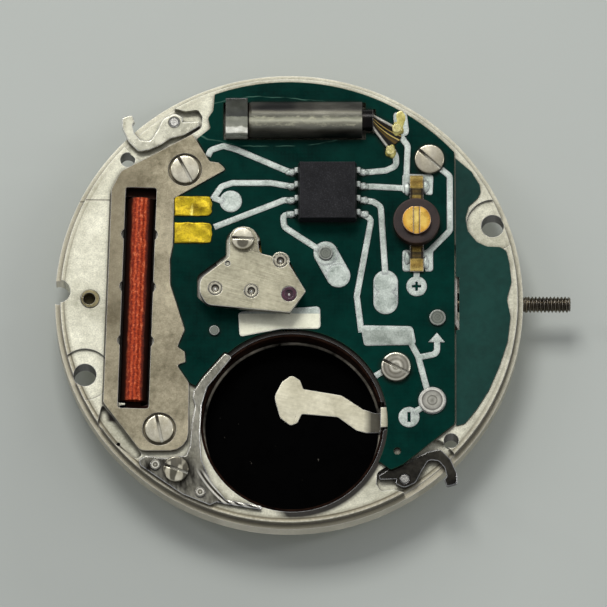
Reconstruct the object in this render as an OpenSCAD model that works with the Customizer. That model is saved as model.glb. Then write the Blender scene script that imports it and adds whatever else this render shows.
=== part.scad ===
// Quartz watch movement, seen from its battery side. Millimetres.
// The dial seats on z = 0 and the hands leave downwards. The winding stem points along +X.

/* [Main plate] */
// Radius of the upper disc of the main plate
plate_r = 12.5; // [12.35:0.05:12.6]
// Radius of the flange that the case holds
flange_r = 12.8; // [12.75:0.05:13.2]
// Height from the dial seat to the upper face
plate_h = 1.7; // [1.68:0.01:1.75]
// Height of the flange
flange_h = 1.25; // [1.15:0.01:1.3]
// Radius of the dial foot holes
foot_hole_r = 0.41; // [0.35:0.01:0.45]
// Radius of the casing screw holes
case_hole_r = 0.62; // [0.5:0.01:0.7]
// Radius of the flat round each casing screw hole
case_flat_r = 1.45; // [1.3:0.05:1.5]

/* [Battery well] */
// Radius of the button cell
cell_r = 4.75; // [4.6:0.01:4.76]
// Clear space round the cell
cell_gap = 0.11; // [0.08:0.01:0.12]
// Wall of the insulating cup
cup_t = 0.12; // [0.08:0.01:0.13]
// Web left under the well
well_web = 0.15; // [0.1:0.01:0.2]
// Thickness of the contact strap
strap_t = 0.12; // [0.08:0.01:0.14]

/* [Hands] */
// Radius of the hour wheel's pipe
hour_seat_r = 0.75; // [0.7:0.01:0.8]
// Radius of the minute hand's seat
minute_seat_r = 0.45; // [0.42:0.01:0.47]
// Radius of the second hand's pivot
second_seat_r = 0.1; // [0.08:0.005:0.11]
// How far the hour pipe stands out of the dial seat
hour_post_l = 0.7; // [0.5:0.05:0.9]
// How far each finer post stands out beyond the last
post_step = 0.35; // [0.25:0.05:0.5]
// Running clearance between the pipes
pipe_gap = 0.02; // [0.015:0.005:0.03]

/* [Train] */
// Thickness of the train wheels
wheel_t = 0.1; // [0.08:0.01:0.12]
// Radius of the arbors
arbor_r = 0.11; // [0.09:0.01:0.12]
// Radius of the pivots
pivot_r = 0.06; // [0.05:0.005:0.07]
// Clearance round a pivot
pivot_gap = 0.015; // [0.01:0.005:0.02]
// Clearance of the pockets beyond the wheels' tips
pocket_gap = 0.06; // [0.04:0.01:0.08]
// Radius of the rotor's magnet
magnet_r = 0.65; // [0.5:0.05:0.75]

/* [Bridge] */
// Thickness of the train bridge
bridge_t = 0.4; // [0.35:0.01:0.45]
// Height of the bridge's underside over the main plate
bridge_lift = 0.9; // [0.8:0.01:0.95]
// Radius of the bearing bushes
bush_r = 0.36; // [0.3:0.01:0.4]

/* [Circuit] */
// Thickness of the circuit board
board_t = 0.22; // [0.18:0.01:0.26]
// Radius of the board's outer arc
board_r = 12.27; // [12.1:0.01:12.3]
// Thickness of the tinned tracks
track_t = 0.03; // [0.02:0.005:0.04]
// Width of the tracks
track_w = 0.33; // [0.25:0.01:0.36]
// Width of the chip
chip_w = 3.2; // [3:0.1:3.3]
// Depth of the chip
chip_d = 3.15; // [3:0.05:3.3]
// Height of the chip's body
chip_h = 1.05; // [0.9:0.05:1.2]
// Distance between the chip's leads
lead_pitch = 0.79; // [0.7:0.01:0.82]
// Leads along each side of the chip
lead_count = 4; // [3:1:4]
// Width of a lead
lead_w = 0.3; // [0.22:0.01:0.34]
// Radius of the crystal's can
can_r = 1; // [0.85:0.01:1]
// Length of the crystal's can
can_l = 6.25; // [5.5:0.05:6.3]
// Length of the clear block behind the can
damper_l = 1.2; // [1:0.05:1.25]
// Radius of the trimmer's body
trimmer_r = 1.27; // [1.15:0.01:1.3]
// Radius of the trimmer's rotor
trimmer_rotor_r = 0.78; // [0.65:0.01:0.85]
// Height of the trimmer's body
trimmer_h = 0.6; // [0.5:0.05:0.7]

/* [Coil] */
// Radius of the winding
coil_r = 0.75; // [0.65:0.01:0.77]
// Length of the winding
coil_l = 11.4; // [10.5:0.1:11.6]
// Thickness of the core and of the stator
core_t = 0.3; // [0.26:0.01:0.32]
// Width of the core inside the winding
core_w = 0.8; // [0.6:0.05:0.9]
// Thickness of the coil's cover plate
cover_t = 0.3; // [0.24:0.01:0.32]
// Half width of the slot over the winding
slot_r = 0.85; // [0.82:0.01:0.9]

/* [Setting works] */
// Radius of the stem's threaded end
stem_r = 0.45; // [0.4:0.01:0.46]
// How far the pushed-in stem stands out of the flange
stem_out = 2.6; // [2:0.1:3.5]
// Travel of the stem when it is pulled
stem_pull = 0.8; // [0.6:0.05:0.8]
// Radius of the sliding pinion
clutch_r = 0.44; // [0.4:0.01:0.45]
// Thickness of the levers
lever_t = 0.22; // [0.18:0.01:0.24]

/* [Screws] */
// Radius of the coil screws' heads
coil_screw_r = 0.77; // [0.68:0.01:0.8]
// Radius of the board screws' heads
board_screw_r = 0.8; // [0.7:0.01:0.86]
// Radius of the bridge screw's head
bridge_screw_r = 0.6; // [0.5:0.01:0.64]
// Height of the screw heads
head_h = 0.32; // [0.25:0.01:0.36]
// Width of the screw slots
slot_w = 0.15; // [0.1:0.01:0.18]
// Radius of the screws' shanks
shank_r = 0.38; // [0.3:0.01:0.4]

/* [Hidden] */

// Facets of a full circle, and a small overlap for clean cuts
$fn = 48;
eps = 0.05;
// Clearance between two pieces that are fixed to each other
seat_gap = 0.02;
// Clearance between two levels that turn or swing past each other
level_gap = 0.04;

// Battery well: its centre, its wall and its floor
well = [0.16, -6.92];
well_r = cell_r + cell_gap + cup_t + seat_gap;
board_well_r = well_r + 0.22;
cup_floor_t = 0.06;
strap_z = well_web + cup_floor_t;

// Arbors of the train: rotor, intermediate wheel, centre and third wheel
rotor_at = [-4.03, 0.32];
inter_at = [-2.06, 0.17];
centre_at = [0, 0];
third_at = [-0.47, 1.87];
minute_at = [1.414, 1.414];

// Teeth of the train
rotor_teeth = 8;
inter_teeth = 60;
inter_leaves = 10;
seconds_teeth = 40;
seconds_leaves = 6;
third_teeth = 60;
third_leaves = 10;
centre_teeth = 60;
cannon_teeth = 12;
minute_teeth = 36;
minute_leaves = 10;
hour_teeth = 40;
setting_teeth = 14;
clutch_teeth = 10;

// Modules that fill the distance between two arbors with the teeth of both wheels
rotor_m = pair_module(rotor_at, inter_at, rotor_teeth + inter_teeth);
seconds_m = pair_module(inter_at, centre_at, inter_leaves + seconds_teeth);
third_m = pair_module(centre_at, third_at, seconds_leaves + third_teeth);
centre_m = pair_module(third_at, centre_at, third_leaves + centre_teeth);
minute_m = pair_module(centre_at, minute_at, cannon_teeth + minute_teeth);
hour_m = pair_module(minute_at, centre_at, minute_leaves + hour_teeth);

// The setting wheel lies on the stem's line, in mesh with the minute wheel
setting_reach = (minute_teeth + setting_teeth) * minute_m / 2;
setting_at = [minute_at[0] + sqrt(pow(setting_reach, 2) - pow(minute_at[1], 2)), 0];

// Heights of the motion work, from the dial seat upwards
cover_plate_t = 0.1;
hour_z = cover_plate_t + level_gap;
minute_z = hour_z + wheel_t + level_gap + 0.03;
motion_depth = minute_z + wheel_t + level_gap + 0.01;
web_t = 0.14;

// Heights of the train, from the web upwards
floor_z = motion_depth + web_t;
centre_z = floor_z + level_gap;
third_z = centre_z + wheel_t + 0.16;
inter_z = third_z + wheel_t + 2 * level_gap;
seconds_z = inter_z + wheel_t + 3 * level_gap;
stator_z = plate_h - 0.02 - core_t;
core_z = stator_z - core_t;
coil_z = core_z + core_t / 2;
board_z = plate_h;
board_top = board_z + board_t;
cover_top = plate_h + cover_t;
bridge_z = plate_h + bridge_lift;
bridge_top = bridge_z + bridge_t;

// The coil leans a little from the plate's Y axis
coil_at = [-8.3, 0.02];
coil_lean = 1.9;
coil_screw_at = [[-5.7, 7.28], [-7.07, -7.34]];
coil_screw_turn = [-62, -78];

// Chip, crystal and trimmer
chip_at = [2.1, 5.88];
can_at = [-2.25, 10.05];
can_z = board_top + 0.23;
can_pocket_gap = 0.05;
trimmer_at = [6.97, 4.22];

// Winding stem and setting works
stem_z = 0.6;
stem_hole_r = stem_r + 0.035;
clutch_x = 4;
clutch_l = 1.3;
stem_square = 0.42;
groove_x = 9.9;
lever_pivot = [groove_x + 0.15 + stem_pull / 2, -2.265];
yoke_pivot = [4.75, 2.4];
lever_z = stem_z + clutch_r + 0.09;
jumper_z = lever_z + lever_t + level_gap;

// Dial clamps
clamp_pin = [-6.3, 10.06];
clamp_pin_r = 0.22;
clamp_floor = plate_h - 0.43;
foot_hole = [8.84, 7.92];
case_hole = [11.14, 4.2];
case_flat_z = plate_h - 0.15;
clamp_t = 0.36;

// Module of a pair of wheels on two arbors, for the sum of their teeth
function pair_module(a, b, teeth) = 2 * norm(a - b) / teeth;
// Direction from one point to another
function heading(a, b) = atan2(b[1] - a[1], b[0] - a[0]);
function unit(v) = v / norm(v);
function flat(p) = [p[0], p[1]];
function moved(points, step) = [for (p = points) [p[0] + step[0], p[1] + step[1], p[2]]];

// Corner b between a and c, turned into an arc of radius r
function bend(a, b, c, r, n) =
    let (u = unit(a - b))
    let (v = unit(c - b))
    let (half = acos(u * v) / 2)
    let (reach = min(r / tan(half), 0.49 * norm(a - b), 0.49 * norm(c - b)))
    let (true_r = reach * tan(half))
    let (mid = b + unit(u + v) * true_r / sin(half))
    let (from = b + u * reach - mid)
    let (to = b + v * reach - mid)
    let (start = atan2(from[1], from[0]))
    let (turn = (atan2(to[1], to[0]) - start + 540) % 360 - 180)
    [for (i = [0 : n]) mid + true_r * [cos(start + turn * i / n), sin(start + turn * i / n)]];

// Closed outline through corners [x, y, radius]
function rounded(corners, n = 4) = [
    for (i = [0 : len(corners) - 1])
        let (a = flat(corners[(i + len(corners) - 1) % len(corners)]))
        let (b = flat(corners[i]))
        let (c = flat(corners[(i + 1) % len(corners)]))
        each (corners[i][2] > 0 ? bend(a, b, c, corners[i][2], n) : [b])];

// Line through points, with its inner corners turned into arcs
function route(points, r, n = 3) = [
    for (i = [0 : len(points) - 1])
        each (i == 0 || i == len(points) - 1
            ? [points[i]]
            : bend(points[i - 1], points[i], points[i + 1], r, n))];

// One side of a line, half a width away from it
function side(line, w) = [
    for (i = [0 : len(line) - 1])
        let (before = unit(line[max(i, 1)] - line[max(i, 1) - 1]))
        let (after = unit(line[min(i, len(line) - 2) + 1] - line[min(i, len(line) - 2)]))
        let (normal = [-before[1], before[0]])
        let (mitre = unit(normal + [-after[1], after[0]]))
        line[i] + mitre * w / 2 / (mitre * normal)];

function reversed(list) = [for (i = [len(list) - 1 : -1 : 0]) list[i]];

// Outline of a strip of width w along a line
function strip(points, w, r) =
    let (line = route(points, r))
    concat(side(line, w), reversed(side(line, -w)));

// Outline of a gear: its teeth start at an angle, and its tips are narrower than its roots
function gear(teeth, m, turn = 0) = [
    for (i = [0 : teeth - 1])
        for (k = [[-1.15, -0.3], [0.9, -0.12], [0.9, 0.12], [-1.15, 0.3]])
            let (a = turn + 360 / teeth * (i + k[1]))
            m * (teeth / 2 + k[0]) * [cos(a), sin(a)]];

function tip_r(teeth, m) = m * (teeth / 2 + 0.9);

// Turn of a wheel that meshes with a wheel in the given direction from it
function mesh(turn, teeth, other_teeth, way) =
    way + 180 + 180 / other_teeth - (turn - way) * teeth / other_teeth;

// Window between two spokes of a wheel, from radius a to radius b
function window(a, b, from, to, n = 6) = concat(
    [for (i = [0 : n]) a * [cos(from + (to - from) * i / n), sin(from + (to - from) * i / n)]],
    [for (i = [n : -1 : 0]) b * [cos(from + (to - from) * i / n), sin(from + (to - from) * i / n)]]);

rotor_turn = heading(rotor_at, inter_at);
inter_turn = mesh(rotor_turn, rotor_teeth, inter_teeth, heading(rotor_at, inter_at));
seconds_turn = mesh(0, inter_leaves, seconds_teeth, heading(inter_at, centre_at));
third_turn = mesh(0, seconds_leaves, third_teeth, heading(centre_at, third_at));
centre_turn = mesh(0, third_leaves, centre_teeth, heading(third_at, centre_at));
minute_turn = mesh(0, cannon_teeth, minute_teeth, heading(centre_at, minute_at));
hour_turn = mesh(0, minute_leaves, hour_teeth, heading(minute_at, centre_at));
setting_turn = mesh(minute_turn, minute_teeth, setting_teeth, heading(minute_at, setting_at));

// Puts what follows at a point of the plan and a height
module at(p, z) {
    translate([p[0], p[1], z])
        children();
}

module plate_of(outline, z, t) {
    translate([0, 0, z])
        linear_extrude(t)
            polygon(outline);
}

// Upright cylinder between two heights
module post(p, r, z0, z1) {
    at(p, z0)
        cylinder(r = r, h = z1 - z0);
}

module ring(p, outer, inner, z0, z1) {
    at(p, z0)
        linear_extrude(z1 - z0)
            difference() {
                circle(outer);
                circle(inner);
            }
}

// Slotted screw, with the underside of its head at the height z
module screw(p, z, head_r, shank, down, turn) {
    difference() {
        union() {
            post(p, head_r, z, z + head_h);
            post(p, shank, z - down, z + eps);
        }
        at(p, z + head_h * 0.55)
            rotate([0, 0, turn])
                translate([-head_r - eps, -slot_w / 2, 0])
                    cube([2 * (head_r + eps), slot_w, head_h]);
    }
}

// Toothed disc with windows between its spokes, and its bore
module wheel(teeth, m, turn, t, bore, hub) {
    rim = m * (teeth / 2 - 2.6);
    linear_extrude(t)
        difference() {
            polygon(gear(teeth, m, turn));
            circle(bore);
            if (rim > hub + 0.25) {
                for (i = [0 : 4])
                    polygon(window(hub + 0.1, rim - 0.1, 72 * i + 10, 72 * i + 62));
            }
        }
}

// Arbor between two pivots
module arbor(p, z0, z1, pivot_l = 0.22) {
    post(p, pivot_r, z0, z1);
    post(p, arbor_r, z0 + pivot_l, z1 - pivot_l);
}

// Corners of the coil's cover plate, and the edge of the board that follows it
cover_corners = [
    [-5.3, 9.3, 0.1], [-4.35, 7.75, 0.1], [-3.85, 7.67, 0.15], [-3.45, 7.3, 0.12], [-6.3, 5.66, 0.1],
    [-6.36, 3, 0.3], [-6.52, 2.2, 0.3], [-6.5, 0.8, 0.3], [-5.7, -1.75, 0.35], [-6.1, -2.72, 0.12],
    [-5.7, -3, 0.1], [-5.66, -3.58, 0.08], [-6.12, -3.75, 0.1], [-5.46, -4.75, 0.5],
    [-5.5, -8.55, 1], [-8.1, -8.55, 0.5], [-10.13, -5.85, 0.3], [-9.72, 6.2, 0.6], [-9.2, 7.2, 0.5]];
cover_edge = [for (i = [1 : 13]) cover_corners[i]];
board_gap = 0.05;

// Corners of the train bridge
bridge_corners = [
    [-3.26, 3.8, 0.7], [-1.79, 3.8, 0.7], [-1.62, 2.3, 0.3], [-0.86, 2.1, 0.2], [-0.1, 1.85, 0.2],
    [0.92, 0.15, 0.12], [0.05, -1.05, 0.08], [-4.5, -0.6, 0.55], [-4.87, 0.05, 0.5],
    [-4.87, 0.85, 0.7], [-3.26, 2.1, 0.2]];
bridge_screw_at = [-2.53, 3.08];
bridge_dowel_at = [-3.35, 1.72];
bridge_foot = [[-3.1, 3.68, 0.5], [-1.97, 3.68, 0.5], [-1.97, 2.75, 0.4], [-2.42, 2.1, 0.2],
    [-2.98, 2.1, 0.2], [-3.1, 2.75, 0.4]];
bridge_opening = [
    [-3.45, 3.95, 0.8], [-1.6, 3.95, 0.8], [-1.5, 2.5, 0.2], [-0.9, 2.35, 0.2], [0.05, 2.1, 0.3],
    [0.85, 0.4, 0.2], [0.4, -0.35, 0.2], [-4.4, -0.45, 0.3], [-5.02, 0.1, 0.3],
    [-5.02, 1.3, 0.4], [-3.45, 2.5, 0.1]];

// Corners of the circuit board, apart from its outer arc
board_side_x = 9.05;
board_corners_top = [
    [-4.08, 11.57, 0.15], [-4.16, 10.65, 0.1], [-4.44, 10.22, 0.1], [-4.3, 9.66, 0.1],
    [-5.05, 9.05, 0.05]];

// Corners of the dial clamp, round its pin at the origin
clamp_corners = [
    [-2.85, 0.25, 0.06], [-2.3, 0.42, 0.1], [-2.16, 0.02, 0.05], [-2.3, -0.15, 0.1],
    [-2.18, -0.65, 0.3], [-1.85, -1.02, 0.3], [-1.3, -1.08, 0.3], [-0.95, -0.5, 0.4],
    [-0.6, 0.2, 0.4], [0.05, 0.5, 0.35], [0.5, 0.25, 0.1], [0.42, 0, 0.05], [1.35, 0.03, 0.05],
    [1.4, -0.2, 0.05], [0.55, -0.72, 0.3], [-0.2, -0.9, 0.2], [-0.7, -1.25, 0.3],
    [-1.35, -1.55, 0.3], [-1.95, -1.66, 0.25], [-2.5, -1.1, 0.4], [-2.85, -0.3, 0.3]];

// Twice the signed area inside the corners, and the corners moved outwards
function total(list) = list * [for (v = list) 1];
function area(c) =
    total([for (i = [0 : len(c) - 1])
        let (b = c[(i + 1) % len(c)])
        c[i][0] * b[1] - c[i][1] * b[0]]);
function grown(c, by) = [
    for (i = [0 : len(c) - 1])
        let (b = flat(c[i]))
        let (u = unit(b - flat(c[(i + len(c) - 1) % len(c)])))
        let (v = unit(flat(c[(i + 1) % len(c)]) - b))
        let (out = area(c) > 0 ? 1 : -1)
        let (m = unit([u[1], -u[0]] + [v[1], -v[0]]))
        let (p = b + m * out * by / (m * [u[1], -u[0]]))
        [p[0], p[1], c[i][2]]];

// Frame of the coil, along its leaning axis
module coil_frame() {
    translate([coil_at[0], coil_at[1], 0])
        rotate([0, 0, -coil_lean])
            children();
}

// Plan of the stator and of the ends of the coil's core
stator_r = 1.38;
stator_bore = magnet_r + 0.1;
stator_corners = [
    [-6.6, 8, 0.5], [-4.8, 7.6, 0.5], [-4.9, 6.2, 0.6], [-4, 1.85, 0.4], [-3.2, 0.4, 0.3],
    [-4.6, -1.2, 0.5], [-5.5, -4, 1], [-6.1, -6.8, 0.4], [-6.2, -7.8, 0.4], [-7.2, -8.3, 0.5],
    [-7.95, -7.6, 0.5], [-7.2, -6.3, 0.5], [-6.1, -1.5, 1], [-5.6, 0.3, 0.6], [-6, 2.5, 1],
    [-6.5, 6.4, 0.6]];
coil_end = coil_l / 2;
lug_shift = coil_end - 5.7;
core_lugs = [
    moved([[-8.9, 5.9, 0.1], [-8.7, 7, 0.4], [-7.5, 7.3, 0.5], [-6.3, 8.1, 0.5], [-5.2, 8.1, 0.5],
        [-4.9, 7.5, 0.4], [-5, 6.6, 0.4], [-6.4, 6.1, 0.5], [-7.3, 5.75, 0.1]], [0, lug_shift]),
    moved([[-9.2, -6, 0.1], [-8.9, -7.3, 0.4], [-7.6, -8.3, 0.5], [-6.3, -8.1, 0.5],
        [-6.2, -6.6, 0.4], [-7.6, -5.85, 0.1]], [0, -lug_shift])];

module coil_room() {
    coil_frame() {
        plate_of(rounded([[-0.9, -coil_end - 0.15, 0.2], [0.9, -coil_end - 0.15, 0.2],
            [0.9, coil_end + 0.15, 0.2], [-0.9, coil_end + 0.15, 0.2]]), coil_z - coil_r - 0.06, plate_h);
        at([-core_w / 2 - 0.06, -coil_end - 0.46], core_z)
            cube([core_w + 0.12, coil_l + 0.92, plate_h]);
    }
    for (lug = core_lugs)
        plate_of(rounded(grown(lug, 0.06)), core_z, plate_h);
    plate_of(rounded(grown(stator_corners, 0.05)), stator_z, plate_h);
    post(rotor_at, stator_r + 0.05, stator_z, plate_h + eps);
}

// Room for the wheels, open to the board, and the holes of their lower pivots
centre_pipe_r = 0.26;
pipe_bearing_gap = 0.02;
rotor_pinion_z = inter_z - level_gap;
train_pivots = [[rotor_at, rotor_pinion_z - level_gap], [inter_at, inter_z - level_gap],
    [third_at, floor_z - 0.02]];
pivot_l = 0.22;
module train_room() {
    post(centre_at, max(tip_r(centre_teeth, centre_m), tip_r(seconds_teeth, seconds_m)) + pocket_gap,
        floor_z, plate_h + eps);
    post(third_at, tip_r(third_teeth, third_m) + pocket_gap, third_z - level_gap, plate_h + eps);
    post(third_at, tip_r(third_leaves, centre_m) + pocket_gap, floor_z - 0.02, plate_h);
    post(inter_at, tip_r(inter_teeth, rotor_m) + pocket_gap, inter_z - level_gap, plate_h + eps);
    post(rotor_at, magnet_r + 0.1, stator_z - 0.06, plate_h + eps);
    post(rotor_at, tip_r(rotor_teeth, rotor_m) + pocket_gap, rotor_pinion_z - level_gap, plate_h);
    for (p = train_pivots)
        post(p[0], pivot_r + pivot_gap, p[1] - pivot_l - 0.02, plate_h);
    post(centre_at, centre_pipe_r + pipe_bearing_gap, 0, plate_h);
}

// Motion work: its posts, its cover and the recess on the dial side
minute_post_r = 0.15;
setting_post_r = 0.13;
motion_cover_corners = [
    [0.5, 3, 0.4], [2.4, 3.2, 0.5], [4.1, 2, 0.4], [4.1, 1.2, 0.3], [3.45, 0.55, 0.2], [3.4, -0.6, 0.3],
    [3.5, -1.7, 0.35], [2.6, -1.8, 0.35], [1.6, -0.9, 0.2]];
motion_cover_r = tip_r(hour_teeth, hour_m) + 0.08;
motion_screw_at = [[3.6, 1.65], [3, -1.35]];
motion_screw_shank = 0.2;
motion_screw_head = 0.34;
module motion_room() {
    for (w = [[centre_at, tip_r(hour_teeth, hour_m)], [minute_at, tip_r(minute_teeth, minute_m)],
            [setting_at, tip_r(setting_teeth, minute_m)]])
        post(w[0], w[1] + pocket_gap, -eps, motion_depth);
    plate_of(rounded(grown(motion_cover_corners, 0.03)), -eps, eps + cover_plate_t + 0.02);
    post(minute_at, minute_post_r, motion_depth - eps, motion_depth + 0.1);
    for (p = motion_screw_at)
        post(p, motion_screw_shank + seat_gap, 0, 0.7);
}

// Setting works: room for the stem, the sliding pinion and the levers
lever_post_r = 0.2;
pilot_r = 0.12;
pilot_x = 2.4;
room_corners = [
    [3.9, 3.1, 0.5], [9.3, 3.1, 0.4], [9.6, 2.2, 0.3], [11.3, 1.6, 0.4], [11.5, -3.2, 0.6],
    [9.4, -3.2, 0.5], [8.9, -1.2, 0.3], [3.9, -0.75, 0.3]];
module stem_way(r, from, to) {
    translate([from, 0, stem_z])
        rotate([0, 90, 0])
            cylinder(r = r, h = to - from);
}
module setting_room() {
    stem_way(stem_hole_r, 11, max(plate_r, flange_r) + 1);
    stem_way(pilot_r + 0.015, pilot_x - 0.05, clutch_x);
    translate([3.6, -clutch_r - 0.1, stem_z - clutch_r - 0.06])
        cube([7.5, 2 * (clutch_r + 0.1), plate_h]);
    plate_of(rounded(room_corners), lever_z - 2 * level_gap, plate_h);
    for (p = [lever_pivot, yoke_pivot])
        post(p, lever_post_r, lever_z - 0.5, plate_h);
}

// Room round a dial clamp, relative to its pin
clamp_room = [
    [-3.6, 1.3, 0.3], [-3.05, -0.3, 0.3], [-2.7, -1.45, 0.4], [-2.05, -2.1, 0.3], [-1.25, -2.42, 0.3],
    [-0.6, -2.05, 0.3], [-0.1, -1.5, 0.3], [0.65, -0.9, 0.3], [1.5, -0.35, 0.3], [1.55, 0.3, 0.2],
    [1.3, 0.7, 0.2], [0.6, 0.6, 0.3], [0.1, 0.75, 0.2], [-0.7, 0.75, 0.3], [-1.2, 1.3, 0.3]];
module clamp_side() {
    plate_of(rounded(moved(clamp_room, clamp_pin)), clamp_floor, plate_h);
    post(clamp_pin, clamp_pin_r, clamp_floor - 0.5, plate_h);
    post([-foot_hole[0], foot_hole[1]], foot_hole_r, -eps, plate_h + eps);
    post(case_hole, case_hole_r, -eps, plate_h + eps);
    post(case_hole, case_flat_r, case_flat_z, plate_h);
}

// Strap and its riser beside the well
strap_y = [-7.35, -5.75];
riser_x = well[0] + well_r - 0.16;
tail_z = plate_h - strap_t - 0.02;
strap_corners = [
    [0.15, -3.89, 0.3], [0.6, -4.2, 0.2], [0.78, -4.7, 0.15], [2.87, -5.05, 0.4], [4.04, -5.83, 0.3],
    [4.7, -6.05, 0.2], [riser_x + strap_t, -6.05, 0], [riser_x + strap_t, -7.16, 0], [4.21, -7.16, 0.2],
    [3.7, -7.03, 0.3], [2.66, -6.26, 0.4], [0.69, -6.09, 0.15], [0.45, -6.6, 0.2], [0.07, -6.74, 0.2],
    [-0.5, -6.3, 0.4], [-0.81, -5.13, 0.6], [-0.4, -4.3, 0.4]];
tail_corners = [
    [riser_x, -6.05, 0], [6.2, -6, 0.3], [7.2, -5.3, 0.3], [7.81, -5.1, 0.3], [8.35, -5.4, 0.3],
    [8.35, -6.1, 0.3], [7.81, -6.4, 0.3], [6.6, -7.1, 0.3], [riser_x, -7.16, 0]];
module strap_room() {
    translate([riser_x - 0.1, strap_y[0], strap_z])
        cube([strap_t + 0.2, strap_y[1] - strap_y[0], plate_h]);
    plate_of(rounded(grown(tail_corners, 0.12)), tail_z - level_gap, plate_h);
}

// Seats of the screws and rivets: place, radius and depth of each hole
board_screw_at = [[7.69, 7.85], [5.83, -3.87]];
board_rivet_at = [[7.81, -5.73, 0.72], [8.11, -1.08, 0.44], [2, 2.56, 0.38], [-4.08, -1.8, 0.27]];
battery_screw_at = [-6.16, -9.6];
battery_rivet_at = [[-7.28, -9.33], [-4.84, -10.86]];
rivet_r = 0.16;
board_rivet_r = 0.2;
bridge_shank_r = 0.28;
dowel_r = 0.12;
bush_at = [-10.87, 0.05];
eccentric_r = 0.5;
step_corners = [
    [-10.2, -5.9, 0.3], [-10.45, -6.9, 0.3], [-9.5, -8.1, 1], [-8.3, -9, 0.3], [-8, -8.7, 0.2],
    [-8.3, -8.2, 0.3], [-10, -6.1, 0.2]];
module fastener_holes() {
    for (p = coil_screw_at)
        post(p, shank_r + seat_gap, 0.5, plate_h);
    for (p = board_screw_at)
        post(p, shank_r + seat_gap, 0.5, plate_h + eps);
    post(battery_screw_at, shank_r + seat_gap, 0.5, plate_h + eps);
    post(bridge_screw_at, bridge_shank_r + seat_gap, 1.3, bridge_z + eps);
    for (p = board_rivet_at)
        post(flat(p), board_rivet_r + 0.1, plate_h - 0.24, plate_h + eps);
    for (p = battery_rivet_at)
        post(p, rivet_r + seat_gap, 1.1, plate_h + eps);
    post(bush_at, eccentric_r + seat_gap, 0.7, plate_h + eps);
    post([-9.3, -8.05], 0.1, 0.9, plate_h);
}

module main_plate() {
    color([0.88, 0.86, 0.79])
        difference() {
            union() {
                cylinder(r = flange_r, h = flange_h);
                cylinder(r = plate_r, h = plate_h);
                plate_of(rounded(bridge_foot), plate_h - eps, bridge_lift + eps);
                post(bridge_dowel_at, dowel_r, plate_h - eps, bridge_z + bridge_t * 0.8);
            }
            post(well, well_r, well_web, plate_h + eps);
            strap_room();
            train_room();
            coil_room();
            motion_room();
            setting_room();
            translate([can_at[0] - damper_l - 0.15, can_at[1] - can_r - can_pocket_gap, can_z - can_r - 0.03])
                cube([can_l + damper_l + 0.9, 2 * (can_r + can_pocket_gap), plate_h]);
            clamp_side();
            rotate([0, 0, 180])
                clamp_side();
            post([-12.6, 0.49], 0.65, -eps, plate_h + eps);
            plate_of(rounded(step_corners), plate_h - 0.35, 1);
            fastener_holes();
        }
}

module well_insulator() {
    color([0.13, 0.1, 0.09])
        difference() {
            post(well, well_r - seat_gap, well_web, plate_h);
            post(well, cell_r + cell_gap, strap_z, plate_h + eps);
            translate([riser_x - 0.4, strap_y[0], strap_z])
                cube([1, strap_y[1] - strap_y[0], plate_h]);
        }
}

module contact_strap() {
    color([0.79, 0.77, 0.66])
        difference() {
            union() {
                plate_of(rounded(strap_corners), strap_z, strap_t);
                translate([riser_x, -7.16, strap_z])
                    cube([strap_t, 1.11, tail_z + strap_t - strap_z]);
                plate_of(rounded(tail_corners), tail_z, strap_t);
            }
            post(flat(board_rivet_at[0]), board_rivet_r + seat_gap, tail_z - eps, plate_h);
        }
}

// Clamp that holds the cell and touches its rim
battery_clamp_t = 0.2;
battery_clamp_corners = [
    [-8.16, -9.01, 0.1], [-7.82, -8.81, 0.1], [-6.81, -8.94, 0.2], [-5.6, -8.8, 0.15], [-5.4, -8.3, 0.2],
    [-5.3, -7, 0.4], [-5.11, -5.99, 0.2], [-5.25, -5.59, 0.15], [-5.2, -5.18, 0.2], [-4.67, -4.38, 0.3],
    [-3.5, -3.05, 0.15], [-3.11, -3.27, 0.1], [-4.48, -4.98, 0.5], [-4.77, -5.99, 0.4],
    [-4.86, -7.6, 0.6], [-4.77, -9.01, 0.6], [-4.3, -10.2, 0.8], [-3.45, -11.28, 0.2],
    [-1.5, -11.63, 0.05], [-1.52, -11.83, 0.05], [-3.5, -11.5, 0.1], [-3.93, -11.4, 0.1],
    [-4.31, -11.57, 0.1], [-5.81, -10.95, 0.3], [-6.56, -10.43, 0.3], [-8.13, -9.33, 0.15]];
module battery_clamp() {
    color([0.72, 0.71, 0.65])
        difference() {
            plate_of(rounded(battery_clamp_corners), plate_h, battery_clamp_t);
            post(battery_screw_at, shank_r + seat_gap, plate_h - eps, plate_h + 1);
            for (p = battery_rivet_at)
                post(p, rivet_r + seat_gap, plate_h - eps, plate_h + 1);
        }
}

module battery_clamp_screw() {
    color([0.75, 0.74, 0.7])
        screw(battery_screw_at, plate_h + battery_clamp_t, 0.69, shank_r, 1.2, -20);
}

module battery_clamp_rivets() {
    color([0.8, 0.78, 0.7])
        for (p = battery_rivet_at) {
            post(p, rivet_r, 1.15, plate_h + battery_clamp_t);
            post(p, 0.28, plate_h + battery_clamp_t, plate_h + battery_clamp_t + 0.12);
        }
}

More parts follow.
